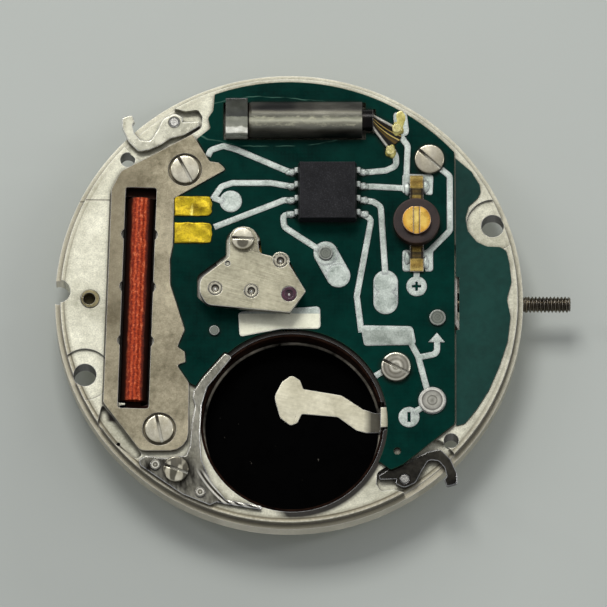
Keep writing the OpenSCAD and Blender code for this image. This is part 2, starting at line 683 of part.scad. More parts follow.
// Circuit board, cut round the well, the bridge, the crystal and the cell's clamp
board_arc = [
    for (i = [0 : 24])
        let (from = acos(board_side_x / board_r))
        let (to = acos(board_corners_top[0][0] / board_r))
        let (a = from + (to - from) * i / 24)
        [board_r * cos(a), board_r * sin(a), 0]];
board_corners = concat(
    board_arc,
    [for (i = [1 : len(board_corners_top) - 1]) board_corners_top[i]],
    moved(cover_edge, [board_gap, 0]),
    [[5, -9.2, 0.1], [5.55, -9.6, 0.2], [6.2, -9.3, 0.3], [9, -7.05, 0.1], [board_side_x, -6.8, 0]]);
module circuit_board() {
    color([0.02, 0.2, 0.17])
        difference() {
            plate_of(rounded(board_corners), board_z, board_t);
            post(well, board_well_r, board_z - eps, board_top + eps);
            plate_of(rounded(bridge_opening), board_z - eps, 1);
            plate_of(rounded(grown(battery_clamp_corners, 0.07)), board_z - eps, 1);
            translate([can_at[0] - damper_l - 0.15, can_at[1] - can_r - can_pocket_gap, board_z - eps])
                cube([can_l + damper_l + 0.35, 2 * (can_r + can_pocket_gap), 1]);
            translate([can_at[0] + can_l, can_at[1] - 0.68, board_z - eps])
                cube([0.75, 1.36, 1]);
            post([5.9, -8.55], 0.2, board_z - eps, board_top + eps);
            for (p = board_screw_at)
                post(p, shank_r + seat_gap, board_z - eps, board_top + eps);
            for (p = board_rivet_at)
                post(flat(p), board_rivet_r + seat_gap, board_z - eps, board_top + eps);
        }
}

// Thin film over the setting works
film_t = 0.08;
film_corners = [
    [9.12, 7.98, 0], [9.99, 7.22, 0.2], [10.44, 6.47, 0.2], [10.49, 6.07, 0.2], [10.33, 5.73, 0.2],
    [9.83, 5.26, 0.2], [9.66, 4.63, 0.3], [9.77, 3.88, 0.3], [10.27, 3.25, 0.3], [10.83, 2.99, 0.2],
    [11.55, 2.96, 0.2], [11.89, 2.73, 0.2], [12.05, 2.04, 0.3], [12.16, 1, 0.1], [11.9, 0, 0.6],
    [12.1, -0.95, 0.1], [11.94, -2.35, 0.5], [11.49, -3.73, 1], [10.91, -5.09, 1], [10.25, -6.15, 1],
    [9.59, -6.98, 0.3], [9.12, -7.1, 0], [9.12, -1.75, 0], [9.3, -1.7, 0], [9.3, 1.25, 0],
    [9.12, 1.3, 0]];
module edge_film() {
    color([0.14, 0.27, 0.24])
        plate_of(rounded(film_corners), plate_h, film_t);
}

// Tinned tracks, from pin to pad
function pin_y(i) = chip_at[1] + 0.06 + lead_pitch * ((lead_count - 1) / 2 - i);
lead_foot = 0.45;
pin_x = [chip_at[0] - chip_w / 2 - lead_foot + 0.1, chip_at[0] + chip_w / 2 + lead_foot - 0.1];
track_top = board_top + track_t;
tracks = [
    [[pin_x[0], pin_y(0)], [-0.3, 7.3], [-2.9, 8.44], [-3.6, 8.64], [-4.3, 8.4], [-4.45, 8.05]],
    [[pin_x[0], pin_y(1)], [-1, 6.54], [-3.1, 6.54], [-3.7, 6.34], [-4.2, 5.6]],
    [[pin_x[0], pin_y(2)], [-0.26, 5.57], [-4.1, 4.04]],
    [[pin_x[0], pin_y(3)], [-0.35, 4.74], [-0.26, 4.04], [1.6, 2.8]],
    [[pin_x[1], pin_y(0)], [5.3, 7.24], [5.87, 7.51], [5.85, 8.1], [5.6, 8.35]],
    [[pin_x[1], pin_y(1)], [4.6, 6.34], [6.3, 6.24]],
    [[pin_x[1], pin_y(2)], [4.6, 5.49], [5.02, 5.2], [5.26, 1.4]],
    [[pin_x[1], pin_y(3)], [4.5, 4.5], [4.34, 3.64], [3.7, 0.14], [3.95, -1.9]],
    [[6.5, -2.2], [7.05, -3.26], [7.55, -5.2]],
    [[8.1, 7.5], [8.8, 6.94], [8.8, 3.84], [7.6, 2.6]],
    [[6.42, 6.8], [6.5, 8.64], [6.05, 9.3], [6.15, 10.4]],
    [[7.2, -3.28], [8.08, -3.1], [8.08, -2.3]],
    [[-3.6, 5.49], [-4.15, 5.7]],
    [[5.1, -4.1], [4.7, -4.36]],
    [[7.3, -6.1], [6.8, -6.4]]];
track_areas = [
    [[3.9, -1.5, 0.2], [6.75, -1.55, 0.25], [6.95, -2.6, 0.2], [4.1, -2.65, 0.15]],
    [[-2.78, -0.75, 0.2], [-0.6, -0.6, 0.1], [1.7, -0.42, 0.2], [1.72, -1.7, 0.2], [-0.4, -1.7, 0.1],
        [-2.7, -2.15, 0.15]],
    [[6.2, 7.04, 0.15], [7.9, 7.04, 0.2], [7.85, 5.84, 0.1], [7.43, 5.9, 0.1], [7.43, 6.4, 0.1],
        [6.65, 6.4, 0.1], [6.62, 5.9, 0.1], [6.2, 6, 0.1]],
    [[6.2, 2.74, 0.15], [7.87, 2.74, 0.15], [7.87, 1.54, 0.15], [7.43, 1.54, 0.1],
        [7.43, 1.9, 0.1], [6.65, 1.9, 0.1], [6.65, 1.54, 0.1], [6.2, 1.54, 0.15]],
    [[7.6, -2.45, 0], [8.08, -1.92, 0], [8.5, -2.45, 0]],
    [[5.7, 10.55, 0.2], [6.45, 10.55, 0.25], [6.6, 9.2, 0.3], [5.8, 9.14, 0.2]],
    [[5.3, 8.55, 0.2], [5.9, 8.5, 0.2], [5.85, 8.1, 0.15], [5.35, 8.1, 0.2]]];
track_pads = [
    [[-3.19, 5.5], [-3.19, 5.5], 0.61], [[6.97, 0.7], [6.97, 0.7], 0.56], [[6.54, -6.66], [6.54, -6.66], 0.57],
    [[7.81, -5.73], [7.81, -5.73], 0.76], [[2, 2.57], [2.69, 1.3], 0.66], [[5.28, 0.93], [5.28, -0.2], 0.67]];
module pad(a, b, r) {
    translate(a)
        circle(r);
    if (norm(b - a) > 0) {
        translate(b)
            circle(r);
        polygon(strip([a, b], 2 * r, 0.1));
    }
}
module circuit_tracks() {
    color([0.8, 0.82, 0.8])
        at([0, 0], board_top)
            linear_extrude(track_t)
                difference() {
                    union() {
                        for (t = tracks)
                            polygon(strip(t, track_w, 0.3));
                        for (outline = track_areas)
                            polygon(rounded(outline, 3));
                        for (p = track_pads)
                            pad(p[0], p[1], p[2]);
                        translate([6.97, 1.2])
                            square([track_w, 0.9], center = true);
                    }
                    translate([6.97, 0.7]) {
                        square([0.5, 0.14], center = true);
                        square([0.14, 0.5], center = true);
                    }
                    translate([6.54, -6.66])
                        square([0.17, 0.55], center = true);
                    for (p = board_rivet_at)
                        translate(flat(p))
                            circle(board_rivet_r + seat_gap);
                    for (p = board_screw_at)
                        translate(p)
                            circle(board_screw_r + seat_gap);
                }
}

chip_z = track_top + 0.03;
module chip_body() {
    w = chip_w / 2;
    color([0.11, 0.11, 0.12])
        at([chip_at[0], chip_at[1] + chip_d / 2], chip_z)
            rotate([90, 0, 0])
                linear_extrude(chip_d)
                    polygon([[-w + 0.06, 0], [w - 0.06, 0], [w, 0.42], [w, 0.6], [w - 0.1, chip_h],
                        [-w + 0.1, chip_h], [-w, 0.6], [-w, 0.42]]);
}

// Leads, bent down to their pads on both sides of the chip
lead_t = 0.12;
module chip_leads() {
    w = chip_w / 2;
    top = chip_z - track_top + 0.45 + lead_t;
    color([0.82, 0.82, 0.78])
        for (s = [0, 1])
            for (i = [0 : lead_count - 1])
                at([chip_at[0], pin_y(i) + lead_w / 2], track_top)
                    mirror([s, 0, 0])
                        rotate([90, 0, 0])
                            linear_extrude(lead_w)
                                polygon([[w, top], [w + 0.14, top], [w + 0.2, top - 0.06], [w + 0.24, lead_t],
                                    [w + lead_foot, lead_t], [w + lead_foot, 0], [w + 0.13, 0],
                                    [w + 0.08, top - lead_t], [w, top - lead_t]]);
}

// Crystal in its opening, with the clear block behind it
module crystal_can() {
    color([0.6, 0.6, 0.57])
        at(can_at, can_z)
            rotate([90, 0, 90])
                rotate_extrude()
                    polygon([[0, 0], [can_r - 0.2, 0], [can_r - 0.06, 0.06], [can_r, 0.2], [can_r, can_l],
                        [0, can_l]]);
}

module crystal_damper() {
    color([0.7, 0.72, 0.7])
        at([can_at[0] - damper_l - seat_gap, can_at[1] - can_r], can_z - can_r)
            cube([damper_l, 2 * can_r, 2 * can_r - 0.05]);
}

module wire(a, b, r) {
    d = b - a;
    translate(a)
        rotate([0, acos(d[2] / norm(d)), atan2(d[1], d[0])])
            cylinder(r = r, h = norm(d));
}
exit_l = 0.6;
lead_ends = [[5.9, 9.6], [5.55, 8.35]];
module crystal_leads() {
    color([0.75, 0.7, 0.5]) {
        at([can_at[0] + can_l, can_at[1]], can_z)
            rotate([0, 90, 0])
                cylinder(r = can_r * 0.6, h = exit_l);
        for (i = [0, 1]) {
            wire([can_at[0] + can_l + exit_l - 0.1, can_at[1] + 0.3 - 0.6 * i, can_z],
                [lead_ends[i][0], lead_ends[i][1], track_top + 0.1], 0.08);
            post(lead_ends[i], 0.24, track_top, track_top + 0.2);
        }
    }
}

// Trimmer: strips to the board, insulating body and turning rotor
trimmer_strip_t = 0.12;
trimmer_z = track_top + trimmer_strip_t;
module trimmer_base() {
    color([0.3, 0.2, 0.17])
        difference() {
            post(trimmer_at, trimmer_r, trimmer_z, trimmer_z + trimmer_h);
            post(trimmer_at, 0.22, trimmer_z + 0.15, trimmer_z + 1);
        }
}

module trimmer_strips() {
    color([0.62, 0.55, 0.3])
        for (s = [-1, 1])
            at([trimmer_at[0] - 0.36, trimmer_at[1] + s * (trimmer_r + 0.5) - 0.95], track_top)
                cube([0.74, 1.9, trimmer_strip_t]);
}

module trimmer_rotor() {
    z = trimmer_z + trimmer_h + 0.02;
    color([0.88, 0.66, 0.28])
        difference() {
            union() {
                post(trimmer_at, trimmer_rotor_r, z, z + 0.22);
                post(trimmer_at, 0.2, z - 0.32, z + 0.1);
            }
            at([trimmer_at[0] - 0.18, trimmer_at[1] - 1], z + 0.11)
                cube([0.36, 2, 1]);
        }
}

module board_rivets() {
    color([0.7, 0.68, 0.62])
        for (p = board_rivet_at) {
            post(flat(p), board_rivet_r, plate_h - 0.2, track_top + 0.05);
            post(flat(p), p[2], track_top, track_top + 0.1);
        }
}

module board_screws() {
    color([0.8, 0.79, 0.74])
        for (i = [0, 1])
            screw(board_screw_at[i], board_top, board_screw_r, shank_r, 1.3, [-42, -28][i]);
}

// Coil: its cover plate with the slot over the winding, the winding on its core, and two tongues
module coil_cover() {
    color([0.56, 0.53, 0.47])
        difference() {
            plate_of(rounded(cover_corners), plate_h, cover_t);
            coil_frame() {
                plate_of(rounded([[-slot_r, -coil_end - 0.5, 0.15], [slot_r, -coil_end - 0.5, 0.15],
                    [slot_r, coil_end + 0.55, 0.15], [-slot_r, coil_end + 0.55, 0.15]]), plate_h - eps, 1);
                for (y = [3.6, 0.65, -2.4])
                    for (s = [-1, 1])
                        post([s * (slot_r - 0.2), y], 0.34, plate_h - eps, plate_h + 1);
            }
            for (p = coil_screw_at) {
                post(p, shank_r + seat_gap, plate_h - eps, plate_h + 1);
                post(p, coil_screw_r + 0.15, cover_top - cover_t / 2, plate_h + 1);
            }
        }
}

module coil_core() {
    color([0.5, 0.48, 0.44])
        difference() {
            union() {
                coil_frame()
                    at([-core_w / 2, -coil_end - 0.4], core_z)
                        cube([core_w, coil_l + 0.8, core_t]);
                for (lug = core_lugs)
                    plate_of(rounded(lug), core_z, core_t);
            }
            for (p = coil_screw_at)
                post(p, shank_r + seat_gap, core_z - eps, core_z + 1);
        }
}

module coil_winding() {
    color([0.71, 0.25, 0.16])
        coil_frame()
            at([0, -coil_end], coil_z)
                rotate([-90, 0, 0])
                    difference() {
                        cylinder(r = coil_r, h = coil_l);
                        translate([-core_w / 2 - seat_gap, -core_t / 2 - seat_gap, -eps])
                            cube([core_w + 2 * seat_gap, core_t + 2 * seat_gap, coil_l + 2 * eps]);
                    }
}

module coil_terminals() {
    color([0.78, 0.69, 0.13])
        for (y = [[4.67, 5.79], [3.13, 4.3]])
            plate_of(rounded([[-6.26, y[0], 0.05], [-4.21, y[0], 0.15], [-4.21, y[1], 0.15],
                [-6.26, y[1], 0.05]]), track_top + 0.01, 0.08);
}

module coil_screws() {
    color([0.8, 0.79, 0.74])
        for (i = [0, 1])
            screw(coil_screw_at[i], cover_top - cover_t / 2, coil_screw_r, shank_r, 1.3, coil_screw_turn[i]);
}

module stator() {
    color([0.6, 0.58, 0.54])
        difference() {
            union() {
                plate_of(rounded(stator_corners), stator_z, core_t);
                post(rotor_at, stator_r, stator_z, stator_z + core_t);
            }
            post(rotor_at, stator_bore, stator_z - eps, stator_z + 1);
            for (p = coil_screw_at)
                post(p, shank_r + seat_gap, stator_z - eps, stator_z + 1);
        }
}

// Train bridge with its bushes, its jewel, its screw and its dowel
jewel_r = 0.4;
module train_bridge() {
    color([0.66, 0.64, 0.56])
        difference() {
            union() {
                plate_of(rounded(bridge_corners), bridge_z, bridge_t);
                post(third_at, 0.5, bridge_z, bridge_top);
            }
            for (p = [rotor_at, inter_at, third_at])
                post(p, bush_r + seat_gap, bridge_z - eps, bridge_top + eps);
            post(centre_at, jewel_r + seat_gap, bridge_z - eps, bridge_top + eps);
            post(bridge_screw_at, bridge_shank_r + seat_gap, bridge_z - eps, bridge_top + eps);
            post(bridge_dowel_at, dowel_r + seat_gap, bridge_z - eps, bridge_top + eps);
        }
}

module bridge_screw() {
    color([0.75, 0.74, 0.7])
        screw(bridge_screw_at, bridge_top, bridge_screw_r, bridge_shank_r, 1.6, 55);
}

module bearing(p, r) {
    difference() {
        post(p, r, bridge_z + 0.02, bridge_top + 0.02);
        post(p, pivot_r + pivot_gap, bridge_z, bridge_top + eps);
        post(p, r * 0.6, bridge_top - 0.13, bridge_top + eps);
    }
}
module bridge_bushes() {
    color([0.8, 0.75, 0.6])
        for (p = [rotor_at, inter_at, third_at])
            bearing(p, bush_r);
}
module centre_jewel() {
    color([0.35, 0.1, 0.2])
        bearing(centre_at, jewel_r);
}

// Train, from the stepping rotor to the minutes
shoulder = 0.02;
module train_arbor(i) {
    p = train_pivots[i];
    arbor(p[0], p[1] - pivot_l + shoulder, bridge_z + 0.26);
}
module leaves(p, teeth, m, z0, z1) {
    plate_of([for (q = gear(teeth, m)) q + p], z0, z1 - z0);
}

module rotor_magnet() {
    color([0.4, 0.4, 0.42])
        ring(rotor_at, magnet_r, arbor_r + 0.005, stator_z - 0.03, plate_h);
}

module rotor_pinion() {
    color([0.75, 0.68, 0.42]) {
        train_arbor(0);
        at(rotor_at, rotor_pinion_z)
            linear_extrude(wheel_t + 2 * level_gap)
                polygon(gear(rotor_teeth, rotor_m, rotor_turn));
    }
}

module intermediate_wheel() {
    color([0.82, 0.7, 0.4]) {
        train_arbor(1);
        at(inter_at, inter_z)
            wheel(inter_teeth, rotor_m, inter_turn, wheel_t, arbor_r - 0.02, 0.4);
        leaves(inter_at, inter_leaves, seconds_m, inter_z + wheel_t - 0.01, seconds_z + wheel_t + level_gap);
    }
}

centre_arbor_r = 0.105;
second_seat_z = -hour_post_l - post_step;
seconds_profile = [
    [0, second_seat_z - post_step], [second_seat_r, second_seat_z - post_step],
    [second_seat_r, second_seat_z], [centre_arbor_r, second_seat_z + 0.54],
    [centre_arbor_r, bridge_z - shoulder], [pivot_r, bridge_z - shoulder],
    [pivot_r, bridge_z + 0.26], [0, bridge_z + 0.26]];
module seconds_wheel() {
    color([0.82, 0.7, 0.4]) {
        at(centre_at, 0)
            rotate_extrude()
                polygon(seconds_profile);
        at(centre_at, seconds_z)
            wheel(seconds_teeth, seconds_m, seconds_turn, wheel_t, centre_arbor_r - 0.02, 0.35);
        leaves(centre_at, seconds_leaves, third_m, third_z - level_gap, third_z + wheel_t + 0.06);
    }
}

module third_wheel() {
    color([0.82, 0.7, 0.4]) {
        train_arbor(2);
        at(third_at, third_z)
            wheel(third_teeth, third_m, third_turn, wheel_t, arbor_r - 0.02, 0.35);
        leaves(third_at, third_leaves, centre_m, centre_z - shoulder, third_z + 0.01);
    }
}

centre_bore = centre_arbor_r + pipe_gap;
module centre_wheel() {
    color([0.82, 0.7, 0.4]) {
        ring(centre_at, centre_pipe_r, centre_bore, -hour_post_l - post_step + 0.1, centre_z + wheel_t + 0.05);
        at(centre_at, centre_z)
            wheel(centre_teeth, centre_m, centre_turn, wheel_t, centre_pipe_r - 0.02, 0.35);
    }
}

// Motion work, on the dial side
cannon_bore = centre_pipe_r + 0.005;
cannon_r = minute_seat_r + 0.005;
cannon_profile = [
    [cannon_bore, second_seat_z], [minute_seat_r, second_seat_z], [minute_seat_r, -hour_post_l],
    [minute_seat_r - 0.01, -hour_post_l + 0.28], [cannon_r, -hour_post_l + 0.56],
    [cannon_r, minute_z], [cannon_bore, minute_z]];
module cannon_pinion() {
    color([0.75, 0.74, 0.7]) {
        at(centre_at, 0)
            rotate_extrude()
                polygon(cannon_profile);
        at(centre_at, minute_z - 0.02)
            linear_extrude(wheel_t + 0.04)
                difference() {
                    polygon(gear(cannon_teeth, minute_m));
                    circle(cannon_bore);
                }
    }
}

module hour_wheel() {
    bore = cannon_r + pipe_gap;
    color([0.82, 0.7, 0.4]) {
        ring(centre_at, hour_seat_r, bore, -hour_post_l, hour_z + wheel_t);
        at(centre_at, hour_z)
            wheel(hour_teeth, hour_m, hour_turn, wheel_t, hour_seat_r - 0.02, hour_seat_r);
    }
}

module minute_wheel() {
    bore = minute_post_r + 0.015;
    color([0.82, 0.7, 0.4]) {
        at(minute_at, minute_z)
            wheel(minute_teeth, minute_m, minute_turn, wheel_t, bore, 0.45);
        at(minute_at, hour_z - 0.01)
            linear_extrude(minute_z - hour_z + 0.02)
                difference() {
                    polygon(gear(minute_leaves, hour_m));
                    circle(bore);
                }
    }
}

module setting_wheel() {
    color([0.75, 0.74, 0.7])
        at(setting_at, minute_z)
            wheel(setting_teeth, minute_m, setting_turn, wheel_t, setting_post_r + 0.015, 1);
}

module motion_posts() {
    color([0.75, 0.74, 0.7]) {
        post(minute_at, minute_post_r, cover_plate_t + 0.01, motion_depth + 0.1);
        post(setting_at, setting_post_r, 0.01, motion_depth);
    }
}

module motion_cover() {
    color([0.75, 0.73, 0.66])
        difference() {
            plate_of(rounded(motion_cover_corners), 0, cover_plate_t);
            post(centre_at, motion_cover_r, -eps, 1);
            post(setting_at, setting_post_r + 0.01, -eps, 1);
            for (p = motion_screw_at) {
                post(p, motion_screw_shank + seat_gap, -eps, 1);
            }
        }
}

// Flat screws of the cover, their heads towards the dial
module motion_cover_screws() {
    color([0.75, 0.74, 0.7])
        for (p = motion_screw_at)
            difference() {
                post(p, motion_screw_shank, 0.01, 0.65);
                translate([p[0] - 0.5, p[1] - 0.04, -eps])
                    cube([1, 0.08, eps + 0.06]);
            }
}

// Winding stem, stepped from its pilot to its thread
bearing_x = groove_x + 0.52;
stem_profile = [
    [0, groove_x - 0.01], [0.25, groove_x - 0.01], [0.25, groove_x + 0.3], [stem_r + 0.01, bearing_x],
    [stem_r + 0.01, flange_r - 0.4], [stem_r - 0.06, flange_r + 0.1], [stem_r, flange_r + 0.15],
    [stem_r, flange_r + stem_out], [0, flange_r + stem_out]];
module stem() {
    color([0.45, 0.4, 0.34]) {
        stem_way(pilot_r, pilot_x, clutch_x);
        translate([clutch_x - 0.1, -stem_square / 2, stem_z - stem_square / 2])
            cube([3.7, stem_square, stem_square]);
        stem_way(0.35, 7.6, groove_x - 0.3);
        stem_way(0.42, groove_x - 0.3, groove_x);
        translate([0, 0, stem_z])
            rotate([0, 90, 0])
                rotate_extrude()
                    polygon(stem_profile);
    }
}

// Sliding pinion on the stem's square, with end teeth and a groove for the yoke
clutch_groove_r = 0.35;
module sliding_pinion() {
    color([0.75, 0.74, 0.7])
        difference() {
            union() {
                stem_way(clutch_groove_r, clutch_x, clutch_x + clutch_l);
                stem_way(clutch_r, clutch_x, clutch_x + 0.45);
                stem_way(clutch_r, clutch_x + clutch_l - 0.2, clutch_x + clutch_l);
            }
            translate([clutch_x - eps, -stem_square / 2 - 0.015, stem_z - stem_square / 2 - 0.015])
                cube([clutch_l + 2 * eps, stem_square + 0.03, stem_square + 0.03]);
            for (i = [0 : clutch_teeth - 1])
                translate([clutch_x - eps, 0, stem_z])
                    rotate([360 / clutch_teeth * (i + 0.5), 0, 0])
                        translate([0, -0.045, 0.3])
                            cube([0.15 + eps, 0.09, 1]);
        }
}

module setting_lever() {
    p = lever_pivot;
    color([0.7, 0.69, 0.64])
        difference() {
            union() {
                plate_of(rounded([[p[0] - 0.45, p[1] - 0.3, 0.3], [p[0] + 0.3, p[1] - 0.45, 0.3],
                    [p[0] + 0.45, p[1] + 0.5, 0.4], [groove_x + 0.4, 0.2, 0.2], [groove_x - 0.1, 0.25, 0.2],
                    [groove_x - 0.1, -0.3, 0.2]]), lever_z, lever_t);
                post([groove_x + 0.15, 0], 0.13, stem_z + 0.28, lever_z + 0.1);
            }
            post(p, lever_post_r + 0.02, lever_z - eps, lever_z + 1);
        }
}

module yoke() {
    p = yoke_pivot;
    tab_x = clutch_x + 0.83;
    color([0.7, 0.69, 0.64])
        difference() {
            union() {
                plate_of(rounded([[p[0] - 0.4, p[1] - 0.2, 0.3], [p[0] - 0.3, p[1] + 0.4, 0.3],
                    [p[0] + 0.5, p[1] + 0.35, 0.3], [8.9, 2.1, 0.2], [9, 1.75, 0.15], [p[0] + 0.7, p[1] - 0.4, 0.4],
                    [tab_x + 0.3, 0.1, 0.1], [tab_x + 0.22, -0.15, 0.05], [tab_x, -0.15, 0.05],
                    [tab_x - 0.1, 0.4, 0.3]]), lever_z, lever_t);
                translate([tab_x, -0.12, stem_z + clutch_groove_r + 0.02])
                    cube([0.22, 0.24, lever_z - stem_z - clutch_groove_r + 0.08]);
            }
            post(p, lever_post_r + 0.02, lever_z - eps, lever_z + 1);
        }
}

module lever_jumper() {
    p = lever_pivot;
    color([0.72, 0.71, 0.66])
        difference() {
            plate_of(rounded([[p[0] - 0.5, p[1] - 0.5, 0.4], [p[0] + 0.5, p[1] - 0.5, 0.4],
                [p[0] + 0.5, p[1] + 0.5, 0.4], [9.6, -1.4, 0.3], [9.2, -1.1, 0.2], [9.2, 1.2, 0.1],
                [9, 1.25, 0.1], [8.95, -1.2, 0.2]]), jumper_z, lever_t);
            post(p, lever_post_r + seat_gap, jumper_z - eps, jumper_z + 1);
        }
}

module lever_posts() {
    color([0.75, 0.74, 0.7]) {
        post(lever_pivot, lever_post_r, lever_z - 0.5, jumper_z + lever_t);
        post(yoke_pivot, lever_post_r, lever_z - 0.5, lever_z + lever_t + 0.1);
    }
}

// Dial clamps, one the other turned half round the centre
module dial_clamp() {
    color([0.85, 0.83, 0.77])
        difference() {
            plate_of(rounded(moved(clamp_corners, clamp_pin)), clamp_floor + 0.03, clamp_t);
            post(clamp_pin, clamp_pin_r + 0.02, clamp_floor, plate_h + 1);
        }
}
module dial_clamp_left() {
    dial_clamp();
}
module dial_clamp_right() {
    rotate([0, 0, 180])
        dial_clamp();
}
module dial_clamp_pins() {
    color([0.75, 0.74, 0.7])
        for (turn = [0, 180])
            rotate([0, 0, turn])
                post(clamp_pin, clamp_pin_r, clamp_floor - 0.5, plate_h - 0.02);
}

module eccentric_bush() {
    color([0.72, 0.68, 0.6])
        difference() {
            post(bush_at, eccentric_r, 0.7, plate_h + 0.05);
            post(bush_at + [-0.05, 0], 0.33, 0.9, plate_h + 1);
        }
}

main_plate();
well_insulator();
contact_strap();
battery_clamp();
battery_clamp_screw();
battery_clamp_rivets();
circuit_board();
edge_film();
circuit_tracks();
chip_body();
chip_leads();
crystal_can();
crystal_leads();
crystal_damper();
trimmer_base();
trimmer_strips();
trimmer_rotor();
board_rivets();
board_screws();
coil_cover();
coil_core();
coil_winding();
coil_terminals();
coil_screws();
stator();
train_bridge();
bridge_screw();
bridge_bushes();
centre_jewel();
rotor_magnet();
rotor_pinion();
intermediate_wheel();
seconds_wheel();
third_wheel();
centre_wheel();
cannon_pinion();
hour_wheel();
minute_wheel();
setting_wheel();
motion_posts();
motion_cover();
motion_cover_screws();
stem();
sliding_pinion();
setting_lever();
yoke();
lever_jumper();
lever_posts();
dial_clamp_left();
dial_clamp_right();
dial_clamp_pins();
eccentric_bush();
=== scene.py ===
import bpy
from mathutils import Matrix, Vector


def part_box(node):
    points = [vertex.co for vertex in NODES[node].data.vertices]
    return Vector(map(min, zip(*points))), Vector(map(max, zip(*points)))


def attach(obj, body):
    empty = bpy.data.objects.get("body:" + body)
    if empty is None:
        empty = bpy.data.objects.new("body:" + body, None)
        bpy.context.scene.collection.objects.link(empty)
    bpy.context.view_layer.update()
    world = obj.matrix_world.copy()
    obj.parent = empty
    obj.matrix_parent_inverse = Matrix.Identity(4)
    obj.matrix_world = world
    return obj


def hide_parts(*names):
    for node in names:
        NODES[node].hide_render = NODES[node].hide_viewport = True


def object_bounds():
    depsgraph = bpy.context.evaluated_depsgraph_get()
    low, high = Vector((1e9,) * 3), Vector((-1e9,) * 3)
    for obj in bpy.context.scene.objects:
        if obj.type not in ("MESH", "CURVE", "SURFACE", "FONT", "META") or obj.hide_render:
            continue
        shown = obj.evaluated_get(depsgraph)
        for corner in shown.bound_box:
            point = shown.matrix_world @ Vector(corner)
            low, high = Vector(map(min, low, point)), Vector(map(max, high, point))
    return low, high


bl_info = {
    "name": "Watch movement",
    "version": (1, 0, 0),
    "blender": (4, 5, 0),
    "location": "View3D > Sidebar > Movement",
    "description": "Finishes, wound and soldered pieces and a studio for a quartz watch movement",
    "category": "Object",
}

import math

import bmesh
import bpy
import numpy as np
from bpy.props import FloatProperty, FloatVectorProperty, IntProperty, PointerProperty
from mathutils import Vector

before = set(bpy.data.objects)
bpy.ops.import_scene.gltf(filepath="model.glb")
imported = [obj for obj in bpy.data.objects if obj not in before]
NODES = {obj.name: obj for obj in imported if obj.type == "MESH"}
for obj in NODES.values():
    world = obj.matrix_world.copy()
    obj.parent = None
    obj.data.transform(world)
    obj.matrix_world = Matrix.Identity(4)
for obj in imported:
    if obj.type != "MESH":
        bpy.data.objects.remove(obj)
CAD_BOX = [list(corner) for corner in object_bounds()]
MM = 0.001

# Places in plan, in millimetres; a third number is a radius.
WELL = (0.16, -6.92)
COIL_X, COIL_LEAN = -8.3, math.radians(1.9)
TRIMMER = (6.97, 4.22)
UPPER_SCREW, LOWER_SCREW, CLAMP_SCREW = (7.69, 7.85), (5.83, -3.87), (-6.16, -9.6)
CLAMP_PINS = ((-6.3, 10.06, 0.34), (6.3, -10.06, 0.34))
PLATE_HOLES = ((11.14, 4.2, 0.62), (-11.14, -4.2, 0.62), (8.84, -7.92, 0.41), (-8.84, 7.92, 0.41))
BOARD_RIVETS = ((7.81, -5.73, 0.72), (8.11, -1.08, 0.44), (2, 2.56, 0.38), (-4.08, -1.8, 0.27))
RIVET_RIMS = ((8.11, -1.08, 0.5), (2, 2.56, 0.44), (-4.08, -1.8, 0.35))
CLAMP_RIVETS = ((-7.28, -9.33, 0.27), (-4.84, -10.86, 0.27))
LEAD_FEET = ((5.9, 9.6, 0.34), (5.55, 8.35, 0.34))
BUSHES = ((-4.03, 0.32, 0.36), (-2.06, 0.17, 0.36), (-0.47, 1.87, 0.36))
LEAD_PITCH = 0.79
# The can's near and far edges along Y, in metres.
CAN_EDGES = (0.00905, 0.01105)
# The rows of a screw head, as shares of its UV, that lie in its slot.
SLOT_ROWS = (0.470, 0.530)

# Slotted screws: new piece, CAD node, and for each head its place and its slot's turn in degrees.
SCREWS = (
    ("coil_heads", "coil_screws", ((-5.7, 7.28, -62), (-7.07, -7.34, -78))),
    ("board_heads", "board_screws", ((*UPPER_SCREW, -42), (*LOWER_SCREW, -28))),
    ("bridge_head", "bridge_screw", ((-2.53, 3.08, -3),)),
    ("clamp_head", "battery_clamp_screw", ((*CLAMP_SCREW, -20),)),
)


def linear(code):
    """Linear colour of a hexadecimal sRGB code; a colour that isn't text is linear already."""
    if not isinstance(code, str):
        return tuple(code)
    parts = [int(code[i : i + 2], 16) / 255 for i in (1, 3, 5)]
    return tuple(p / 12.92 if p <= 0.04045 else ((p + 0.055) / 1.055) ** 2.4 for p in parts)


def dim(colour, share):
    """Colour with each part times the share."""
    return [part * share for part in linear(colour)]


def colour(name, code, description):
    """Colour property with its default from a code."""
    return FloatVectorProperty(
        name=name, description=description, subtype="COLOR", size=3, min=0, max=1, default=linear(code)
    )


def length(name, millimetres, description):
    """Length property with its default in millimetres."""
    return FloatProperty(
        name=name, description=description, subtype="DISTANCE", unit="LENGTH", precision=6, min=0,
        default=millimetres * MM,
    )


def power(name, watts, description):
    """Power of a lamp."""
    return FloatProperty(name=name, description=description, unit="POWER", min=0, default=watts)


# ---- Node trees


